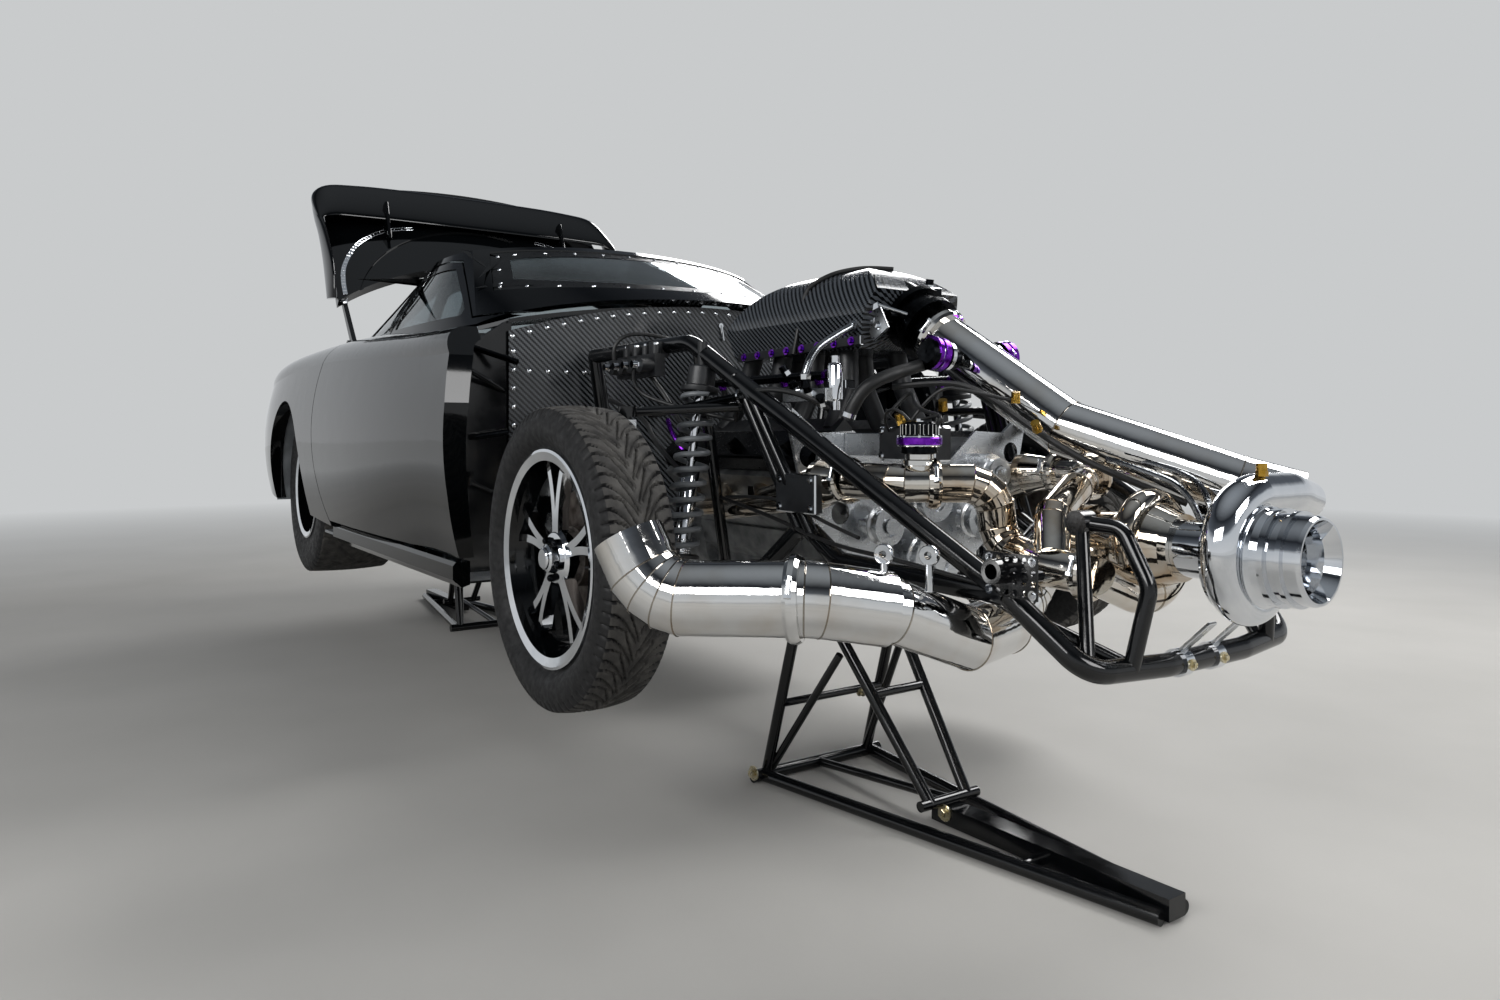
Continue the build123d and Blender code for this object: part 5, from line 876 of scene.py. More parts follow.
rears, fronts = (smoothRun(points, wing["between"]) for points in wingEdges())
bm = bmesh.new()
previous = None
for k, (rear, front) in enumerate(zip(rears, fronts)):
    last = len(rears) - 1
    middles = [(rears[j] + fronts[j]) / 2 for j in (max(0, k - 1), min(last, k + 1))]
    path = (middles[1] - middles[0]).normalized()
    chord = front - rear
    thin = path.cross(chord).normalized()
    share = min(1.0, max(0.0, (wing["legY"] - abs(rear.y)) / 0.04))
    depth = wing["legThickness"] + (wing["thickness"] - wing["legThickness"]) * share
    place = Matrix((chord, thin * depth, chord.cross(thin).normalized())).transposed().to_4x4()
    place.translation = (rear + front) / 2
    ring = bmesh.ops.create_circle(bm, cap_ends=k in (0, last), segments=wing["segments"], radius=0.5,
                                   matrix=place)["verts"]
    ringEdges = list({e for v in ring for e in v.link_edges})
    if previous:
        bmesh.ops.bridge_loops(bm, edges=previous + ringEdges)
    previous = ringEdges
lidTree = treeOf("decklid")
for s in sides.values():
    x, y, z = wing["strutTop"]
    top = at(x, s * y, z)
    foot, normal = hit(lidTree, top, (0.36, 0, -0.93))
    if foot is not None:
        plate(bm, top, foot - normal * wing["strutSink"], (0.9, 0, 0.36), wing["strutThickness"],
              wing["strutWidth"])
bmesh.ops.recalc_face_normals(bm, faces=bm.faces)
wingPiece = keep(bm, "sweptRearWing", "decklid", "black_paint", lacquer)
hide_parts("rear_wing")

# The polished arched strip along the lid, with its small heads

arch = {"width": 0.019, "thickness": 0.0016, "proud": 0.0006, "between": 6, "headSpacing": 0.03,
        "headRadius": 0.0028, "headHeight": 0.0018}
archPlaces = [(-2.439, -0.672, 1.457), (-2.514, -0.666, 1.55), (-2.584, -0.645, 1.63),
              (-2.665, -0.584, 1.727), (-2.71, -0.515, 1.787), (-2.739, -0.428, 1.832),
              (-2.746, -0.355, 1.849), (-2.747, -0.303, 1.856)]
bm = bmesh.new()
for s in sides.values():
    outline = []
    for spot in smoothRun([at(x, y * s, z) for x, y, z in archPlaces], arch["between"]):
        foot, normal = hit(lidTree, spot + Vector((0.14, 0, 0.14)), (-0.719, 0, -0.695))
        if foot is not None:
            outline.append((foot, normal))
    travelled = 0.0
    for (a, normalA), (b, normalB) in zip(outline, outline[1:]):
        normal = (normalA + normalB).normalized()
        rise = normal * arch["proud"]
        plate(bm, a + rise, b + rise, normal.cross(b - a), arch["thickness"], arch["width"])
        travelled += (b - a).length
        if travelled > arch["headSpacing"]:
            travelled = 0.0
            head = facing(b + normal * arch["thickness"], normal)
            dome(bm, head, arch["headRadius"], arch["headHeight"])
keep(bm, "lidArchStrip", "decklid", "polished_aluminium", brightAlloy)
print("rear wing made")


# Wastegates, turned from stacked rings

gate = {"place": (0.585, 0.286, 0.815), "edge": 0.0012, "ribs": 24, "ribPlace": (0.0368, 0, 0.0915),
        "ribSize": (0.004, 0.0045, 0.021), "ribEdge": 0.0008, "bolts": 8, "boltCircle": 0.041,
        "boltFoot": 0.076, "boltRadius": 0.0032, "boltHeight": 0.004, "nutFoot": 0.107, "nutRadius": 0.008,
        "nutHeight": 0.006}
gateRings = [
    # inner height, outer height, radius, material
    (0.0, 0.021, 0.0265, 0), (0.020, 0.032, 0.033, 0), (0.032, 0.044, 0.029, 0), (0.044, 0.058, 0.038, 1),
    (0.058, 0.062, 0.044, 3), (0.062, 0.076, 0.0455, 2), (0.076, 0.079, 0.043, 3), (0.079, 0.104, 0.0365, 1),
]
bm = bmesh.new()
for s in sides.values():
    x, y, z = gate["place"]
    here = facing(at(x, s * y, z), (0, 0, 1))
    edge = gate["edge"]
    for low, high, radius, finish in gateRings:
        turnedForm(bm, here, [(0.0, low), (radius - edge, low), (radius, low + edge), (radius, high - edge),
                              (radius - edge, high), (0.0, high)], 40, finish)
    for k in range(gate["ribs"]):
        turn = math.tau * k / gate["ribs"]
        rib = here @ Matrix.Rotation(turn, 4, "Z") @ Matrix.Translation(gate["ribPlace"])
        slab(bm, rib, gate["ribSize"], 1, gate["ribEdge"])
    turnedForm(bm, here, [(0.0, 0.104), (0.033, 0.104), (0.030, 0.107), (0.0, 0.107)], 32, 1)
    hexHead(bm, here @ Matrix.Translation((0, 0, gate["nutFoot"])), gate["nutRadius"], gate["nutHeight"], 3)
    for k in range(gate["bolts"]):
        turn = math.tau * k / gate["bolts"]
        spot = (gate["boltCircle"] * math.cos(turn), gate["boltCircle"] * math.sin(turn), gate["boltFoot"])
        hexHead(bm, here @ Matrix.Translation(spot), gate["boltRadius"], gate["boltHeight"], 3)
gatePiece = keep(bm, "wastegateStacks", "chassis", "purple_anodised", stainless, blackAnodised, purple,
                 brightAlloy)
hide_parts("wastegates")
print("wastegates made")


# Hoses, cables and fittings round the engine; every place is measured from the front axle

hoses = bmesh.new()
metal = bmesh.new()
sleeved, dyed = 1, 3  # the places of the braid and of the purple in engineHoses
bright, black, tinted, brushed, gold, zinced, satin = range(7)  # the places in engineFittings
forward, toRight, toLeft, upward = (1, 0, 0), (0, -1, 0), (0, 1, 0), (0, 0, 1)

bars = [
    # start, end, radius, finish: throttle crank and rod, lever on the firewall, upper arm
    ((0.255, -0.10, 1.185), (0.255, -0.145, 1.185), 0.009, bright),
    ((0.300, -0.135, 1.195), (0.345, -0.088, 1.172), 0.0035, bright),
    ((-0.612, 0.016, 1.234), (-0.590, 0.016, 1.234), 0.008, bright),
    ((-0.592, 0.016, 1.236), (-0.592, 0.024, 1.188), 0.005, bright),
    ((-0.12, -0.5, 0.944), (0.152, -0.42, 0.983), 0.0095, black),
]
pairedBars = [
    # the same columns, on both sides of the car: fuel rail, clip pins, rods behind the hinges
    ((-0.285, 0.207, 1.035), (0.195, 0.207, 1.035), 0.012, black),
    ((0.88, 0.36, 0.665), (0.88, 0.4, 0.665), 0.009, black),
    ((0.94, 0.36, 0.665), (0.94, 0.4, 0.665), 0.009, black),
    ((-0.70, 0.742, 1.140), (-0.58, 0.655, 1.093), 0.009, black),
    ((-0.665, 0.742, 0.889), (-0.648, 0.655, 0.903), 0.009, black),
]
for x in (-0.25, -0.115, 0.03, 0.165):  # injectors and their rings
    pairedBars += [((x, 0.205, 1.028), (x, 0.186, 0.985), 0.008, satin),
                   ((x, 0.206, 1.031), (x, 0.200, 1.017), 0.0105, tinted)]
strips = [
    # start, end, direction of the width, thickness, width, finish: throttle plate and crank arm, brackets
    ((0.235, -0.112, 1.215), (0.284, -0.112, 1.128), forward, 0.006, 0.06, brushed),
    ((0.232, -0.135, 1.178), (0.300, -0.135, 1.195), upward, 0.004, 0.016, bright),
    ((0.297, -0.236, 1.01), (0.288, -0.20, 1.01), upward, 0.008, 0.02, black),
    ((0.290, -0.225, 0.875), (0.434, -0.225, 0.875), upward, 0.005, 0.05, brushed),
]
blocks = [
    # centre, size, finish, broken edge: fitting blocks, two blank black boxes, blank plate on the firewall
    ((0.270, 0.055, 1.238), (0.055, 0.035, 0.024), black, 0.0015),
    ((0.225, -0.285, 0.985), (0.16, 0.022, 0.03), brushed, 0.0015),
    ((0.515, -0.232, 0.878), (0.165, 0.05, 0.072), satin, 0.004),
    ((0.306, -0.372, 0.770), (0.14, 0.022, 0.085), satin, 0.003),
    ((-0.604, 0.256, 1.225), (0.006, 0.155, 0.085), brushed, 0.012),
]
boltGroups = [
    # direction, radius, places: throttle plate, the two boxes, plate on the firewall
    (toRight, 0.006, [(0.232, -0.115, 1.205), (0.262, -0.115, 1.20), (0.276, -0.115, 1.15),
                      (0.252, -0.115, 1.165)]),
    (toRight, 0.0045, [(0.443, -0.257, 0.852), (0.443, -0.257, 0.904), (0.587, -0.257, 0.852),
                       (0.587, -0.257, 0.904), (0.515, -0.257, 0.904)]),
    (toRight, 0.005, [(0.252, -0.383, 0.80), (0.36, -0.383, 0.80), (0.252, -0.383, 0.74),
                      (0.36, -0.383, 0.74)]),
    (forward, 0.005, [(-0.601, 0.192, 1.257), (-0.601, 0.32, 1.257), (-0.601, 0.192, 1.193),
                      (-0.601, 0.32, 1.193)]),
]
hoseEnds = [
    # place, direction, radius, nut, collar: fitting block, braided hose, row of fittings, brass ends
    ((0.270, 0.055, 1.25), (0.2, 0, 1), 0.009, bright, black),
    ((0.250, 0.072, 1.242), (-0.3, 0.8, 0.5), 0.008, bright, black),
    ((0.222, -0.152, 1.150), (0.1, 0.9, 0.4), 0.011, bright, black),
    ((0.202, -0.272, 1.035), (0, 0, -1), 0.011, bright, black),
    ((0.169, -0.298, 1.034), (-0.2, -0.5, 0.8), 0.0095, bright, black),
    ((0.200, -0.298, 0.995), (0, -0.5, 0.8), 0.0095, bright, black),
    ((0.250, -0.298, 0.985), (0.2, -0.5, 0.8), 0.0095, bright, black),
    ((0.293, -0.298, 0.962), (0.4, -0.5, 0.8), 0.0095, bright, black),
    ((0.545, -0.296, 0.918), (0, -0.4, 1), 0.0085, gold, gold),
    ((0.571, -0.205, 0.947), (0.3, -0.4, 1), 0.0085, gold, gold),
    ((0.712, -0.085, 0.905), (0.2, -0.6, 0.6), 0.0085, gold, gold),
    ((1.116, 0.0, 0.826), upward, 0.0085, gold, gold),
    ((0.66, -0.09, 0.962), (0.2, -0.2, 1), 0.0085, gold, gold),
]
cords = [
    # points, radius, finish: thin cables and hoses, then the turbo's braided lines
    ([(0.445, -0.257, 0.92), (0.475, -0.200, 1.004), (0.536, -0.250, 0.947), (0.661, -0.280, 0.931),
      (0.600, -0.270, 0.905)], 0.0045, 0),
    ([(0.50, -0.235, 0.915), (0.543, -0.200, 0.999), (0.600, -0.16, 0.985), (0.66, -0.09, 0.965)], 0.004, 0),
    ([(0.464, -0.262, 0.948), (0.500, -0.285, 0.925), (0.560, -0.285, 0.92), (0.635, -0.280, 0.935)],
     0.003, 0),
    ([(0.47, -0.262, 0.905), (0.49, -0.30, 0.935), (0.545, -0.31, 0.955), (0.572, -0.30, 0.925)], 0.003, 0),
    ([(0.405, -0.19, 1.00), (0.475, -0.14, 1.01), (0.551, -0.09, 1.00), (0.697, -0.055, 0.895),
      (0.80, 0.0, 0.825), (0.924, 0.09, 0.765)], 0.007, 0),
    ([(-0.022, -0.36, 0.744), (0.184, -0.36, 0.714), (0.397, -0.36, 0.666), (0.629, -0.38, 0.66),
      (0.821, -0.36, 0.635)], 0.0045, 0),
    ([(0.013, -0.365, 0.746), (0.230, -0.365, 0.762), (0.354, -0.365, 0.719), (0.50, -0.37, 0.69)],
     0.004, 0),
    ([(-0.217, -0.46, 1.06), (-0.161, -0.44, 1.007), (-0.12, -0.42, 0.93), (-0.10, -0.38, 0.86)], 0.006, 0),
    ([(-0.411, -0.46, 0.989), (-0.217, -0.46, 0.946), (-0.166, -0.46, 0.87), (-0.045, -0.46, 0.811)],
     0.006, 0),
    ([(-0.30, -0.50, 1.07), (-0.30, -0.52, 1.13), (-0.27, -0.44, 1.17), (-0.24, -0.30, 1.13)], 0.005, 0),
    ([(-0.19, -0.50, 1.07), (-0.18, -0.53, 1.01), (-0.05, -0.47, 0.96), (0.10, -0.40, 0.93)], 0.005, 0),
    ([(0.06, -0.37, 0.93), (0.14, -0.42, 0.985), (0.24, -0.40, 1.0), (0.30, -0.34, 0.98),
      (0.297, -0.285, 0.955)], 0.006, 0),
    ([(-0.136, -0.44, 0.932), (-0.10, -0.455, 0.90), (-0.064, -0.44, 0.859)], 0.006, dyed),
    ([(1.016, -0.02, 0.745), (1.0, -0.03, 0.80), (0.93, -0.05, 0.83), (0.84, -0.04, 0.85)], 0.006, sleeved),
    ([(1.016, 0.02, 0.745), (1.0, 0.03, 0.80), (0.93, 0.05, 0.83), (0.84, 0.04, 0.85)], 0.006, sleeved),
]
thickHoses = [
    # the same columns
    ([(0.222, -0.152, 1.150), (0.214, -0.200, 1.125), (0.204, -0.258, 1.085), (0.202, -0.272, 1.035)],
     0.010, sleeved),
    ([(0.372, -0.290, 0.930), (0.392, -0.279, 0.985), (0.420, -0.240, 1.018), (0.436, -0.150, 1.044),
      (0.430, -0.095, 1.058)], 0.0145, 0),
]
rings = [
    # centre, direction, inner and outer radius, low and high end, steps: hose bands, saddle clamps
    ((0.372, -0.290, 0.930), (0.3, 0.2, 1), 0.0148, 0.0162, 0.004, 0.014, 24),
    ((0.430, -0.095, 1.058), (0.1, -1, -0.2), 0.0148, 0.0162, 0.004, 0.014, 24),
]
for y in (-0.08, 0.02):  # the clamps that tie the front bar to the compressor
    rings.append(((1.013, y, 0.5), toLeft, 0.0206, 0.0245, -0.012, 0.012, 28))
    strips.append(((1.02, y, 0.523), (1.075, y, 0.578), toLeft, 0.006, 0.024, brushed))
    bolt(metal, at(1.038, y, 0.5), forward, 0.006, zinced)
for x in (-0.30, -0.25, -0.20, -0.15):  # the valve bank's ports and its screws
    hoseEnds.append(((x, -0.512, 1.068), toRight, 0.0085, bright, bright))
    hexHead(metal, facing(at(x, -0.466, 1.118), upward), 0.007, 0.006)
for start, end, radius, finish in bars:
    rod(metal, at(*start), at(*end), radius, finish)
for s in sides.values():
    for (x1, y1, z1), (x2, y2, z2), radius, finish in pairedBars:
        rod(metal, at(x1, s * y1, z1), at(x2, s * y2, z2), radius, finish)
for start, end, across, thickness, width, finish in strips:
    plate(metal, at(*start), at(*end), across, thickness, width, finish)
for centre, size, finish, edge in blocks:
    slab(metal, Matrix.Translation(at(*centre)), size, finish, edge)
for direction, radius, places in boltGroups:
    for place in places:
        bolt(metal, at(*place), direction, radius)
for place, direction, radius, nut, collar in hoseEnds:
    hoseEnd(metal, at(*place), direction, radius, nut, collar)
for points, radius, finish in cords:
    addRoute(hoses, [at(*p) for p in points], radius, finish=finish)
for points, radius, finish in thickHoses:
    addRoute(hoses, [at(*p) for p in points], radius, roundness=5, steps=10, finish=finish)
for centre, direction, inner, outer, low, high, steps in rings:
    turnedForm(metal, facing(at(*centre), direction), [
        (inner, low), (outer, low), (outer, high), (inner, high), (inner, low)], steps)

turned = [
    # foot, direction, steps, profile: canister, the two rod-end eyes, the upper arm's washer
    ((0.297, -0.262, 0.951), upward, 28, [
        (0.0, 0.0), (0.011, 0.0), (0.011, 0.02), (0.017, 0.024), (0.017, 0.098), (0.014, 0.104),
        (0.009, 0.106), (0.009, 0.121), (0.0, 0.121)]),
    ((0.152, -0.42, 0.983), (0.27, 0.08, 0.04), 24, [(0.0, 0.0), (0.017, 0.0), (0.017, 0.004), (0.0, 0.004)]),
]
for x, y in ((0.738, -0.520), (0.796, -0.470)):  # rod-end eyes on stems above the exhaust
    rod(metal, at(x, y, 0.63), at(x, y, 0.68), 0.007)
    turned.append(((x, y, 0.692), (0.4, -1, 0), 24, [
        (0.007, -0.007), (0.016, -0.007), (0.018, -0.004), (0.018, 0.004), (0.016, 0.007), (0.007, 0.007),
        (0.007, -0.007)]))
for foot, direction, steps, profile in turned:
    turnedForm(metal, facing(at(*foot), direction), profile, steps)

plenum = {"flangeStart": (-0.262, 0.139, 1.105), "flangeEnd": (0.247, 0.139, 1.118), "flangeDepth": 0.022,
          "flangeThickness": 0.012, "bolts": 8, "boltRadius": 0.0062, "hoseRadius": 0.0055, "hoseLift": 0.006}
plenumHose = [(0.008, -0.118), (0.018, -0.10), (0.035, -0.08), (0.049, -0.055), (0.08, -0.03), (0.119, 0.0),
              (0.16, 0.04)]
for s in sides.values():  # the bolted strips along its lower edges
    start, end = (at(x, s * y, z) for x, y, z in (plenum["flangeStart"], plenum["flangeEnd"]))
    plate(metal, start, end, upward, plenum["flangeThickness"], plenum["flangeDepth"], satin)
    outward = Vector((0, s * plenum["flangeThickness"] / 2, 0))
    for k in range(plenum["bolts"]):
        spot = start.lerp(end, (k + 0.5) / plenum["bolts"]) + outward
        bolt(metal, spot, (0, s, 0.15), plenum["boltRadius"], tinted)
plenumTree = treeOf("intake_manifold")
laid = [at(0.0, -0.152, 1.10), at(0.004, -0.146, 1.14)]
for x, y in plenumHose:  # the thin hose dropped on the dome
    place, normal = hit(plenumTree, at(x, y, 1.6), (0, 0, -1))
    if place is not None:
        laid.append(place + normal * plenum["hoseLift"])
addRoute(hoses, laid, plenum["hoseRadius"])

covers = {"railEndRadius": 0.0115, "firstBolt": -0.36, "boltSpacing": 0.095, "bolts": 7, "boltRadius": 0.006,
          "firstCoil": -0.27, "coilSpacing": 0.14, "coils": 4, "coilSize": (0.034, 0.030, 0.030),
          "coilEdge": 0.003, "coilMiddle": 0.014, "leadRadius": 0.004}
coverTree = treeOf("valve_covers")
for s in sides.values():
    for x, along in ((-0.285, (-1, 0, 0)), (0.195, forward)):  # the fuel rail's ends
        hoseEnd(metal, at(x, s * 0.207, 1.035), along, covers["railEndRadius"], tinted)
    for k in range(covers["bolts"]):  # bolts along each valve cover's rim
        spot = at(covers["firstBolt"] + k * covers["boltSpacing"], s * 0.55, 1.25)
        place, normal = hit(coverTree, spot, (0, -s, -1))
        if place is not None:
            bolt(metal, place, normal, covers["boltRadius"])
    for k in range(covers["coils"]):  # ignition coils on the cover with a lead from each
        x = covers["firstCoil"] + k * covers["coilSpacing"]
        place, normal = hit(coverTree, at(x, s * 0.52, 1.13), (0, -s, -0.75))
        if place is None:
            continue
        here = facing(place, normal)
        slab(metal, here @ Matrix.Translation((0, 0, covers["coilMiddle"])), covers["coilSize"], satin,
             covers["coilEdge"])
        lead = [here @ Vector((0, 0, 0.024)), here @ Vector((0, 0.02, 0.045)),
                place + Vector((0.05, s * 0.03, -0.02)), place + Vector((0.06, s * 0.02, -0.07))]
        addRoute(hoses, lead, covers["leadRadius"])
print("engine hoses and fittings made")

clampBolt = {"lean": (0.25, -1, 0.35), "standOff": 0.016, "half": 0.016, "radius": 0.0045, "headAt": 0.012,
             "headRadius": 0.0075, "headHeight": 0.006}
clampBands = [
    # centre, direction, radius: the bolt of each clamp stands on its outer side
    ((0.3638, 0, 1.1214), (0.34, 0.03, -0.22), 0.060), ((0.878, -0.15, 0.643), (1, 0, -0.04), 0.040),
    ((0.6, -0.264, 0.8), (0.11, 0.148, 0), 0.040), ((0.672, -0.661, 0.619), (-0.204, -0.19, -0.008), 0.065),
    ((0.425, -0.333, 0.8014), (0.7, 0.08, 0.04), 0.038), ((0.425, 0.333, 0.8014), (0.7, -0.08, 0.04), 0.038),
]
for centre, along, radius in clampBands:
    run, lean = Vector(along).normalized(), Vector(clampBolt["lean"])
    out = (lean - run * run.dot(lean)).normalized()
    tangent = run.cross(out)
    spot = at(*centre) + out * (radius + clampBolt["standOff"])
    rod(metal, spot - tangent * clampBolt["half"], spot + tangent * clampBolt["half"], clampBolt["radius"])
    for turn in (-1, 1):
        head = facing(spot + tangent * clampBolt["headAt"] * turn, tangent * turn)
        hexHead(metal, head, clampBolt["headRadius"], clampBolt["headHeight"])

clips = {"x": 0.857, "z": 0.629, "y": 0.4, "cell": 0.0182, "columns": 6, "rows": 4, "holeShare": 0.3,
         "thickness": 0.003, "boltRadius": 0.0048}
clipBolts = [(0.866, 0.638), (0.957, 0.638), (0.866, 0.692), (0.957, 0.692)]
for side, s in sides.items():  # perforated plates at the nose sockets: square cells with a round hole each
    bm = bmesh.new()
    cell = clips["cell"]
    for i in range(clips["columns"]):
        for j in range(clips["rows"]):
            centre = at(clips["x"] + cell * (i + 0.5), s * clips["y"], clips["z"] + cell * (j + 0.5))
            here = Matrix.Translation(centre) @ Matrix.Rotation(math.pi / 2, 4, "X")
            outer = bmesh.ops.create_circle(bm, segments=4, radius=cell / math.sqrt(2),
                                            matrix=here @ Matrix.Rotation(math.pi / 4, 4, "Z"))["verts"]
            inner = bmesh.ops.create_circle(bm, segments=16, radius=cell * clips["holeShare"],
                                            matrix=here)["verts"]
            bmesh.ops.bridge_loops(bm, edges=list({e for v in outer + inner for e in v.link_edges}))
    bmesh.ops.remove_doubles(bm, verts=bm.verts, dist=0.0003)
    bmesh.ops.recalc_face_normals(bm, faces=bm.faces)
    bmesh.ops.solidify(bm, geom=bm.faces[:], thickness=clips["thickness"])
    keep(bm, f"clipPlate{side}", "chassis", "black_tube", coat)
    for x, z in clipBolts:
        bolt(metal, at(x, s * clips["y"], z), (0, s, 0), clips["boltRadius"])

keep(hoses, "engineHoses", "chassis", "black_plastic", hoseRubber, braid, plastic, purple)
keep(metal, "engineFittings", "chassis", "polished_aluminium", brightAlloy, blackAnodised, purple, milled,
     brass, zinc, plastic)
print("engine bay dressed")


# Seat cushions, swollen by cloth pressure

pads = {"swell": 0.022, "voxel": 0.006, "pressure": 4.0, "frames": 20, "corner": 0.42, "fill": 0.6,
        "channelWidth": 0.006, "channelDepth": 0.005}


def swollen(piece):
    # lets cloth pressure fill the pad out, holding each point near its start
    work = bpy.data.objects.new("work", piece.data.copy())
    bpy.context.scene.collection.objects.link(work)
    remesh = work.modifiers.new("remesh", "REMESH")
    remesh.mode = "VOXEL"
    remesh.voxel_size = pads["voxel"]
    shape = bpy.data.meshes.new_from_object(work.evaluated_get(bpy.context.evaluated_depsgraph_get()))
    work.modifiers.clear()
    work.data = shape
    start = [v.co.copy() for v in shape.vertices]
    cloth = work.modifiers.new("cloth", "CLOTH")
    cloth.settings.use_pressure = True
    cloth.settings.uniform_pressure_force = pads["pressure"]
    cloth.settings.effector_weights.gravity = 0
    cloth.point_cache.frame_end = pads["frames"]
    for frameNumber in range(1, pads["frames"] + 1):
        bpy.context.scene.frame_set(frameNumber)
    moved = bpy.data.meshes.new_from_object(work.evaluated_get(bpy.context.evaluated_depsgraph_get()))
    bpy.context.scene.frame_set(1)
    for v, origin in zip(moved.vertices, start):
        step = v.co - origin
        if step.length > pads["swell"]:
            v.co = origin + step.normalized() * pads["swell"]
    bpy.data.objects.remove(work)
    return moved


def makeCushion(name, place, size, channels):
    # a pad of a size whose sewn channels cross it at places along its length
    bm = bmesh.new()
    bmesh.ops.create_cube(bm, size=1.0, matrix=place @ Matrix.Diagonal((*size, 1)))
    bmesh.ops.bevel(bm, geom=bm.edges[:], offset=size[2] * pads["corner"], segments=3, affect="EDGES")
    piece = keep(bm, name, "chassis", "seat_fabric", upholstery, crease=70)
    puffed = swollen(piece)
    puffed.materials.clear()
    puffed.materials.append(upholstery)
    bm = bmesh.new()
    bm.from_mesh(puffed)
    for v in bm.verts:
        local = place.inverted() @ v.co
        pull = max(math.exp(-((local.x - channel) / pads["channelWidth"]) ** 2) for channel in channels)
        v.co -= place.to_3x3() @ Vector((0, 0, math.copysign(pads["channelDepth"], local.z))) * pull
    bm.to_mesh(puffed)
    bm.free()
    puffed.polygons.foreach_set("use_smooth", [True] * len(puffed.polygons))
    piece.data = puffed
    levels = piece.modifiers.new("smooth", "SUBSURF")
    levels.levels = levels.render_levels = 1


baseLean, backLean = -math.atan2(0.03, 0.33), math.atan2(0.12, 0.55) - math.pi / 2
basePlace = Matrix.Translation(at(-1.215, 0.356, 0.672)) @ Matrix.Rotation(baseLean, 4, "Y")
makeCushion("seatBaseCushion", basePlace, (0.27, 0.28, 0.03), (-0.045, 0.045))
backPlace = Matrix.Translation(at(-1.478, 0.356, 0.975)) @ Matrix.Rotation(backLean, 4, "Y")
makeCushion("seatBackCushion", backPlace, (0.44, 0.28, 0.03), (-0.13, -0.045, 0.045, 0.13))
print("cushions made")


# Bolts on the stands and the front bar, each on the line of sight along which it shows

view = {"place": (2.016, -1.693, 0.90), "heading": 145.1, "lens": 24.0, "sensor": 36.0, "horizon": 0.0447,
        "focal": 1000.0, "middle": (750.0, 433.0)}  # the last two in pixels of the photograph


def sightline(across, down):
    # the direction from the viewpoint through a place in the view
    turn = math.radians(view["heading"])
    ahead = Vector((math.cos(turn), math.sin(turn), 0))
    right = Vector((math.sin(turn), -math.cos(turn), 0))
    return (ahead * view["focal"] + right * (across - view["middle"][0])
            + Vector((0, 0, 1)) * (view["middle"][1] - down)).normalized()


standTree = treeOf("front_stand", "front_frame")
standHeads = [
    # place in the view, radius
    (862, 691, 0.010), (933, 680, 0.010), (945, 813, 0.011), (754, 773, 0.011), (1020, 905, 0.010),
    (700, 700, 0.009),
]
bm = bmesh.new()
for across, down, radius in standHeads:
    place, normal = hit(standTree, at(*view["place"]), sightline(across, down))
    if place is not None:
        bolt(bm, place, normal, radius)
keep(bm, "standBolts", "chassis", "cast_alloy", zinc)
print("stands dressed")


# Floor, light and camera

stage = {"floor": "#aeaca8", "floorPatches": "#b5b3af", "backdrop": "#c9cbcc", "floorSize": 60.0,
         "hazeFrom": 4.0, "hazeTo": 11.0}
floorMesh = bpy.data.meshes.new("studioFloor")
bm = bmesh.new()
bmesh.ops.create_grid(bm, x_segments=1, y_segments=1, size=stage["floorSize"])
bm.to_mesh(floorMesh)
bm.free()
floor = bpy.data.objects.new("studioFloor", floorMesh)
bpy.context.scene.collection.objects.link(floor)
floorMaterial, tree, shader, place = startMaterial("paleFloor", {"Roughness": 0.9, "Specular IOR Level": 0.2})
tone = varied(tree, place, 1.5, 3, [(0.3, stage["floor"]), (0.7, stage["floorPatches"])])
tree.links.new(tone, shader.inputs["Base Color"])


def seenDirectly(tree):
    # one where a ray comes from the camera, or by way of a mirror or a pane
    rays = addNode(tree, "ShaderNodeLightPath")
    seen = reckon(tree, "MAXIMUM", rays.outputs["Is Camera Ray"], rays.outputs["Is Glossy Ray"])
    return reckon(tree, "MAXIMUM", seen, rays.outputs["Is Transmission Ray"])


# far off, the floor fades into the pale backdrop, so that no dark line lies behind the car
distance = addNode(tree, "ShaderNodeVectorMath", {"operation": "LENGTH"}, {0: place}).outputs["Value"]
fade = addNode(tree, "ShaderNodeMapRange", None, {
    "Value": distance, "From Min": stage["hazeFrom"], "From Max": stage["hazeTo"]})
share = reckon(tree, "MULTIPLY", fade.outputs["Result"], seenDirectly(tree))
haze = addNode(tree, "ShaderNodeEmission", None, {"Color": srgb(stage["backdrop"]), "Strength": 1.0})
blend = addNode(tree, "ShaderNodeMixShader", None, {
    "Fac": share, 1: shader.outputs["BSDF"], 2: haze.outputs["Emission"]})
tree.links.new(blend.outputs["Shader"], tree.nodes["Material Output"].inputs["Surface"])
floorMesh.materials.append(floorMaterial)

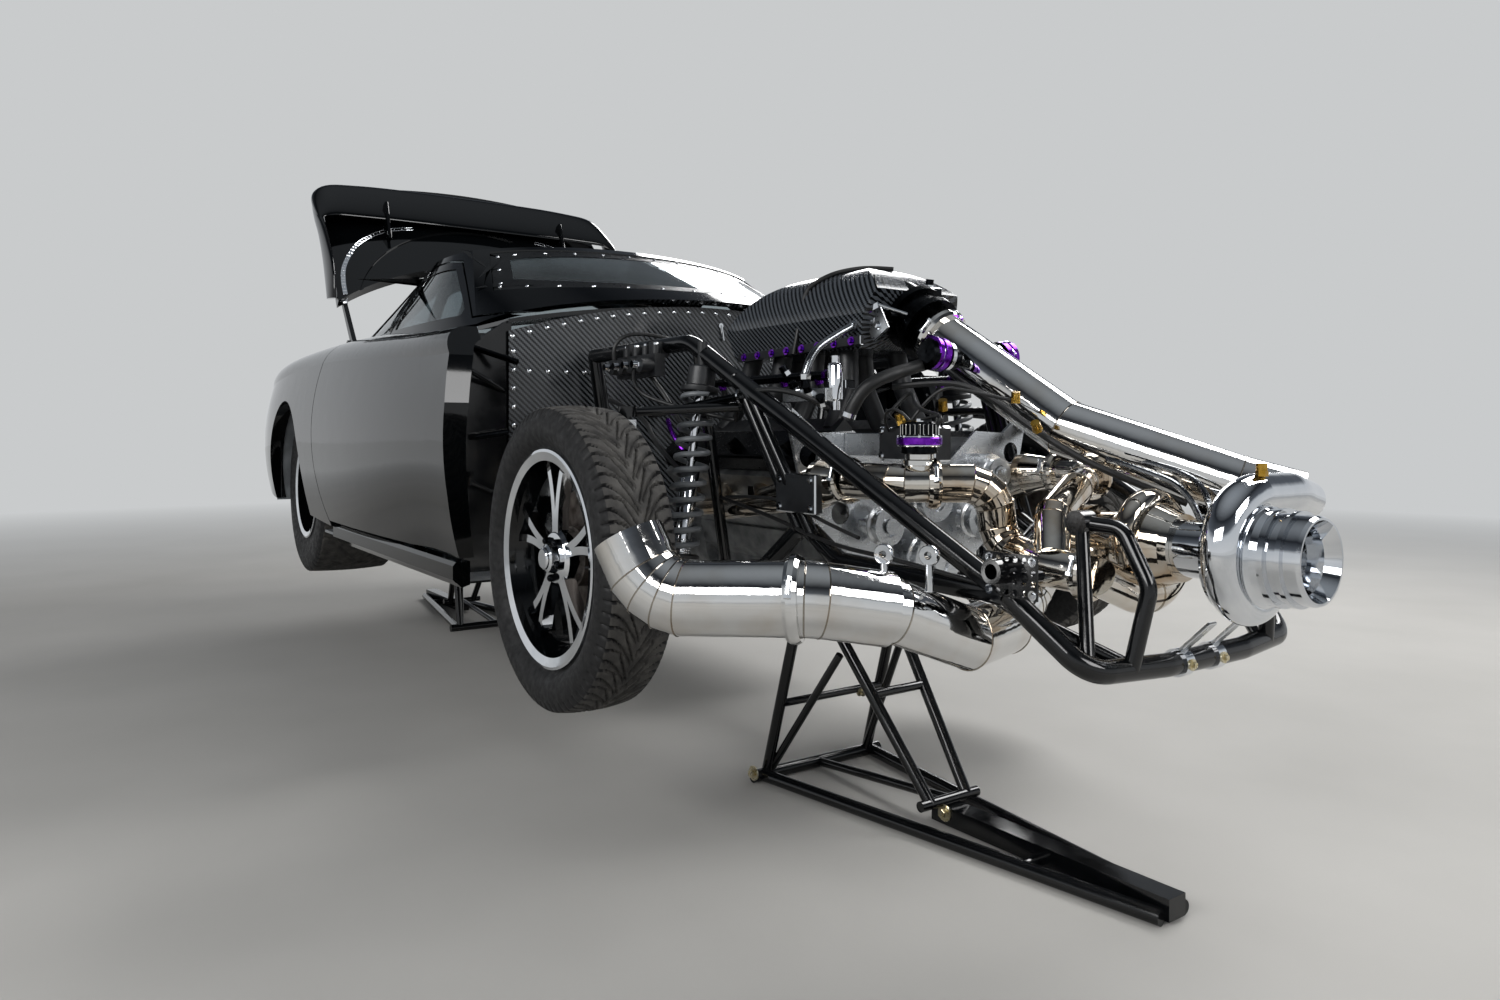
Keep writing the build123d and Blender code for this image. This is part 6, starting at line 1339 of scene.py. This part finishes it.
world = bpy.data.worlds.new("studio")
bpy.context.scene.world = world
world.use_nodes = True
tree = world.node_tree
direction = addNode(tree, "ShaderNodeTexCoord").outputs["Generated"]
height = addNode(tree, "ShaderNodeSeparateXYZ", None, {"Vector": direction}).outputs["Z"]
sky = addNode(tree, "ShaderNodeValToRGB", None, {"Fac": height})
stops = [(0.0, "#d4d6d8"), (0.30, "#c6cace"), (0.42, "#5a5f66"), (0.7, "#26292e"), (1.0, "#8f9499")]
while len(sky.color_ramp.elements) < len(stops):
    sky.color_ramp.elements.new(0.5)
for element, (position, code) in zip(sky.color_ramp.elements, stops):
    element.position = position
    element.color = srgb(code)
background = tree.nodes["Background"]
rays = addNode(tree, "ShaderNodeLightPath")
seen = reckon(tree, "MAXIMUM", rays.outputs["Is Camera Ray"], rays.outputs["Is Transmission Ray"])
shown = mixed(tree, seen, sky.outputs["Color"], srgb(stage["backdrop"]))
tree.links.new(shown, background.inputs["Color"])
background.inputs["Strength"].default_value = 1.0

lamps = [
    # name, place, aim, width, depth, watts
    ("keyLamp", (1.5, 4.5, 5.5), (0.0, 0.0, 0.8), 4.0, 2.5, 330),
    ("sideLamp", (2.5, -6.0, 3.6), (0.4, 0.0, 0.8), 5.0, 2.0, 260),
    ("tailLamp", (-5.0, 5.5, 4.5), (-1.0, 0.0, 0.9), 4.0, 2.0, 260),
    ("noseLamp", (7.0, 1.0, 4.0), (1.0, 0.0, 0.8), 3.0, 2.0, 160),
]
for name, place, aim, width, depth, watts in lamps:
    data = bpy.data.lights.new(name, "AREA")
    data.shape = "RECTANGLE"
    data.size, data.size_y, data.energy = width, depth, watts
    lamp = bpy.data.objects.new(name, data)
    bpy.context.scene.collection.objects.link(lamp)
    lamp.location = place
    lamp.rotation_mode = "QUATERNION"
    lamp.rotation_quaternion = (Vector(aim) - Vector(place)).to_track_quat("-Z", "Y")

cameraData = bpy.data.cameras.new("camera")
cameraData.lens = view["lens"]
cameraData.sensor_width = view["sensor"]
cameraData.shift_y = -view["horizon"]
cameraData.clip_start, cameraData.clip_end = 0.05, 200
camera = bpy.data.objects.new("camera", cameraData)
bpy.context.scene.collection.objects.link(camera)
camera.location = at(*view["place"])
camera.rotation_euler = (math.pi / 2, 0, math.radians(view["heading"] - 90))
bpy.context.scene.camera = camera
bpy.context.scene.view_settings.view_transform = "Standard"
print("stage, light and camera set")
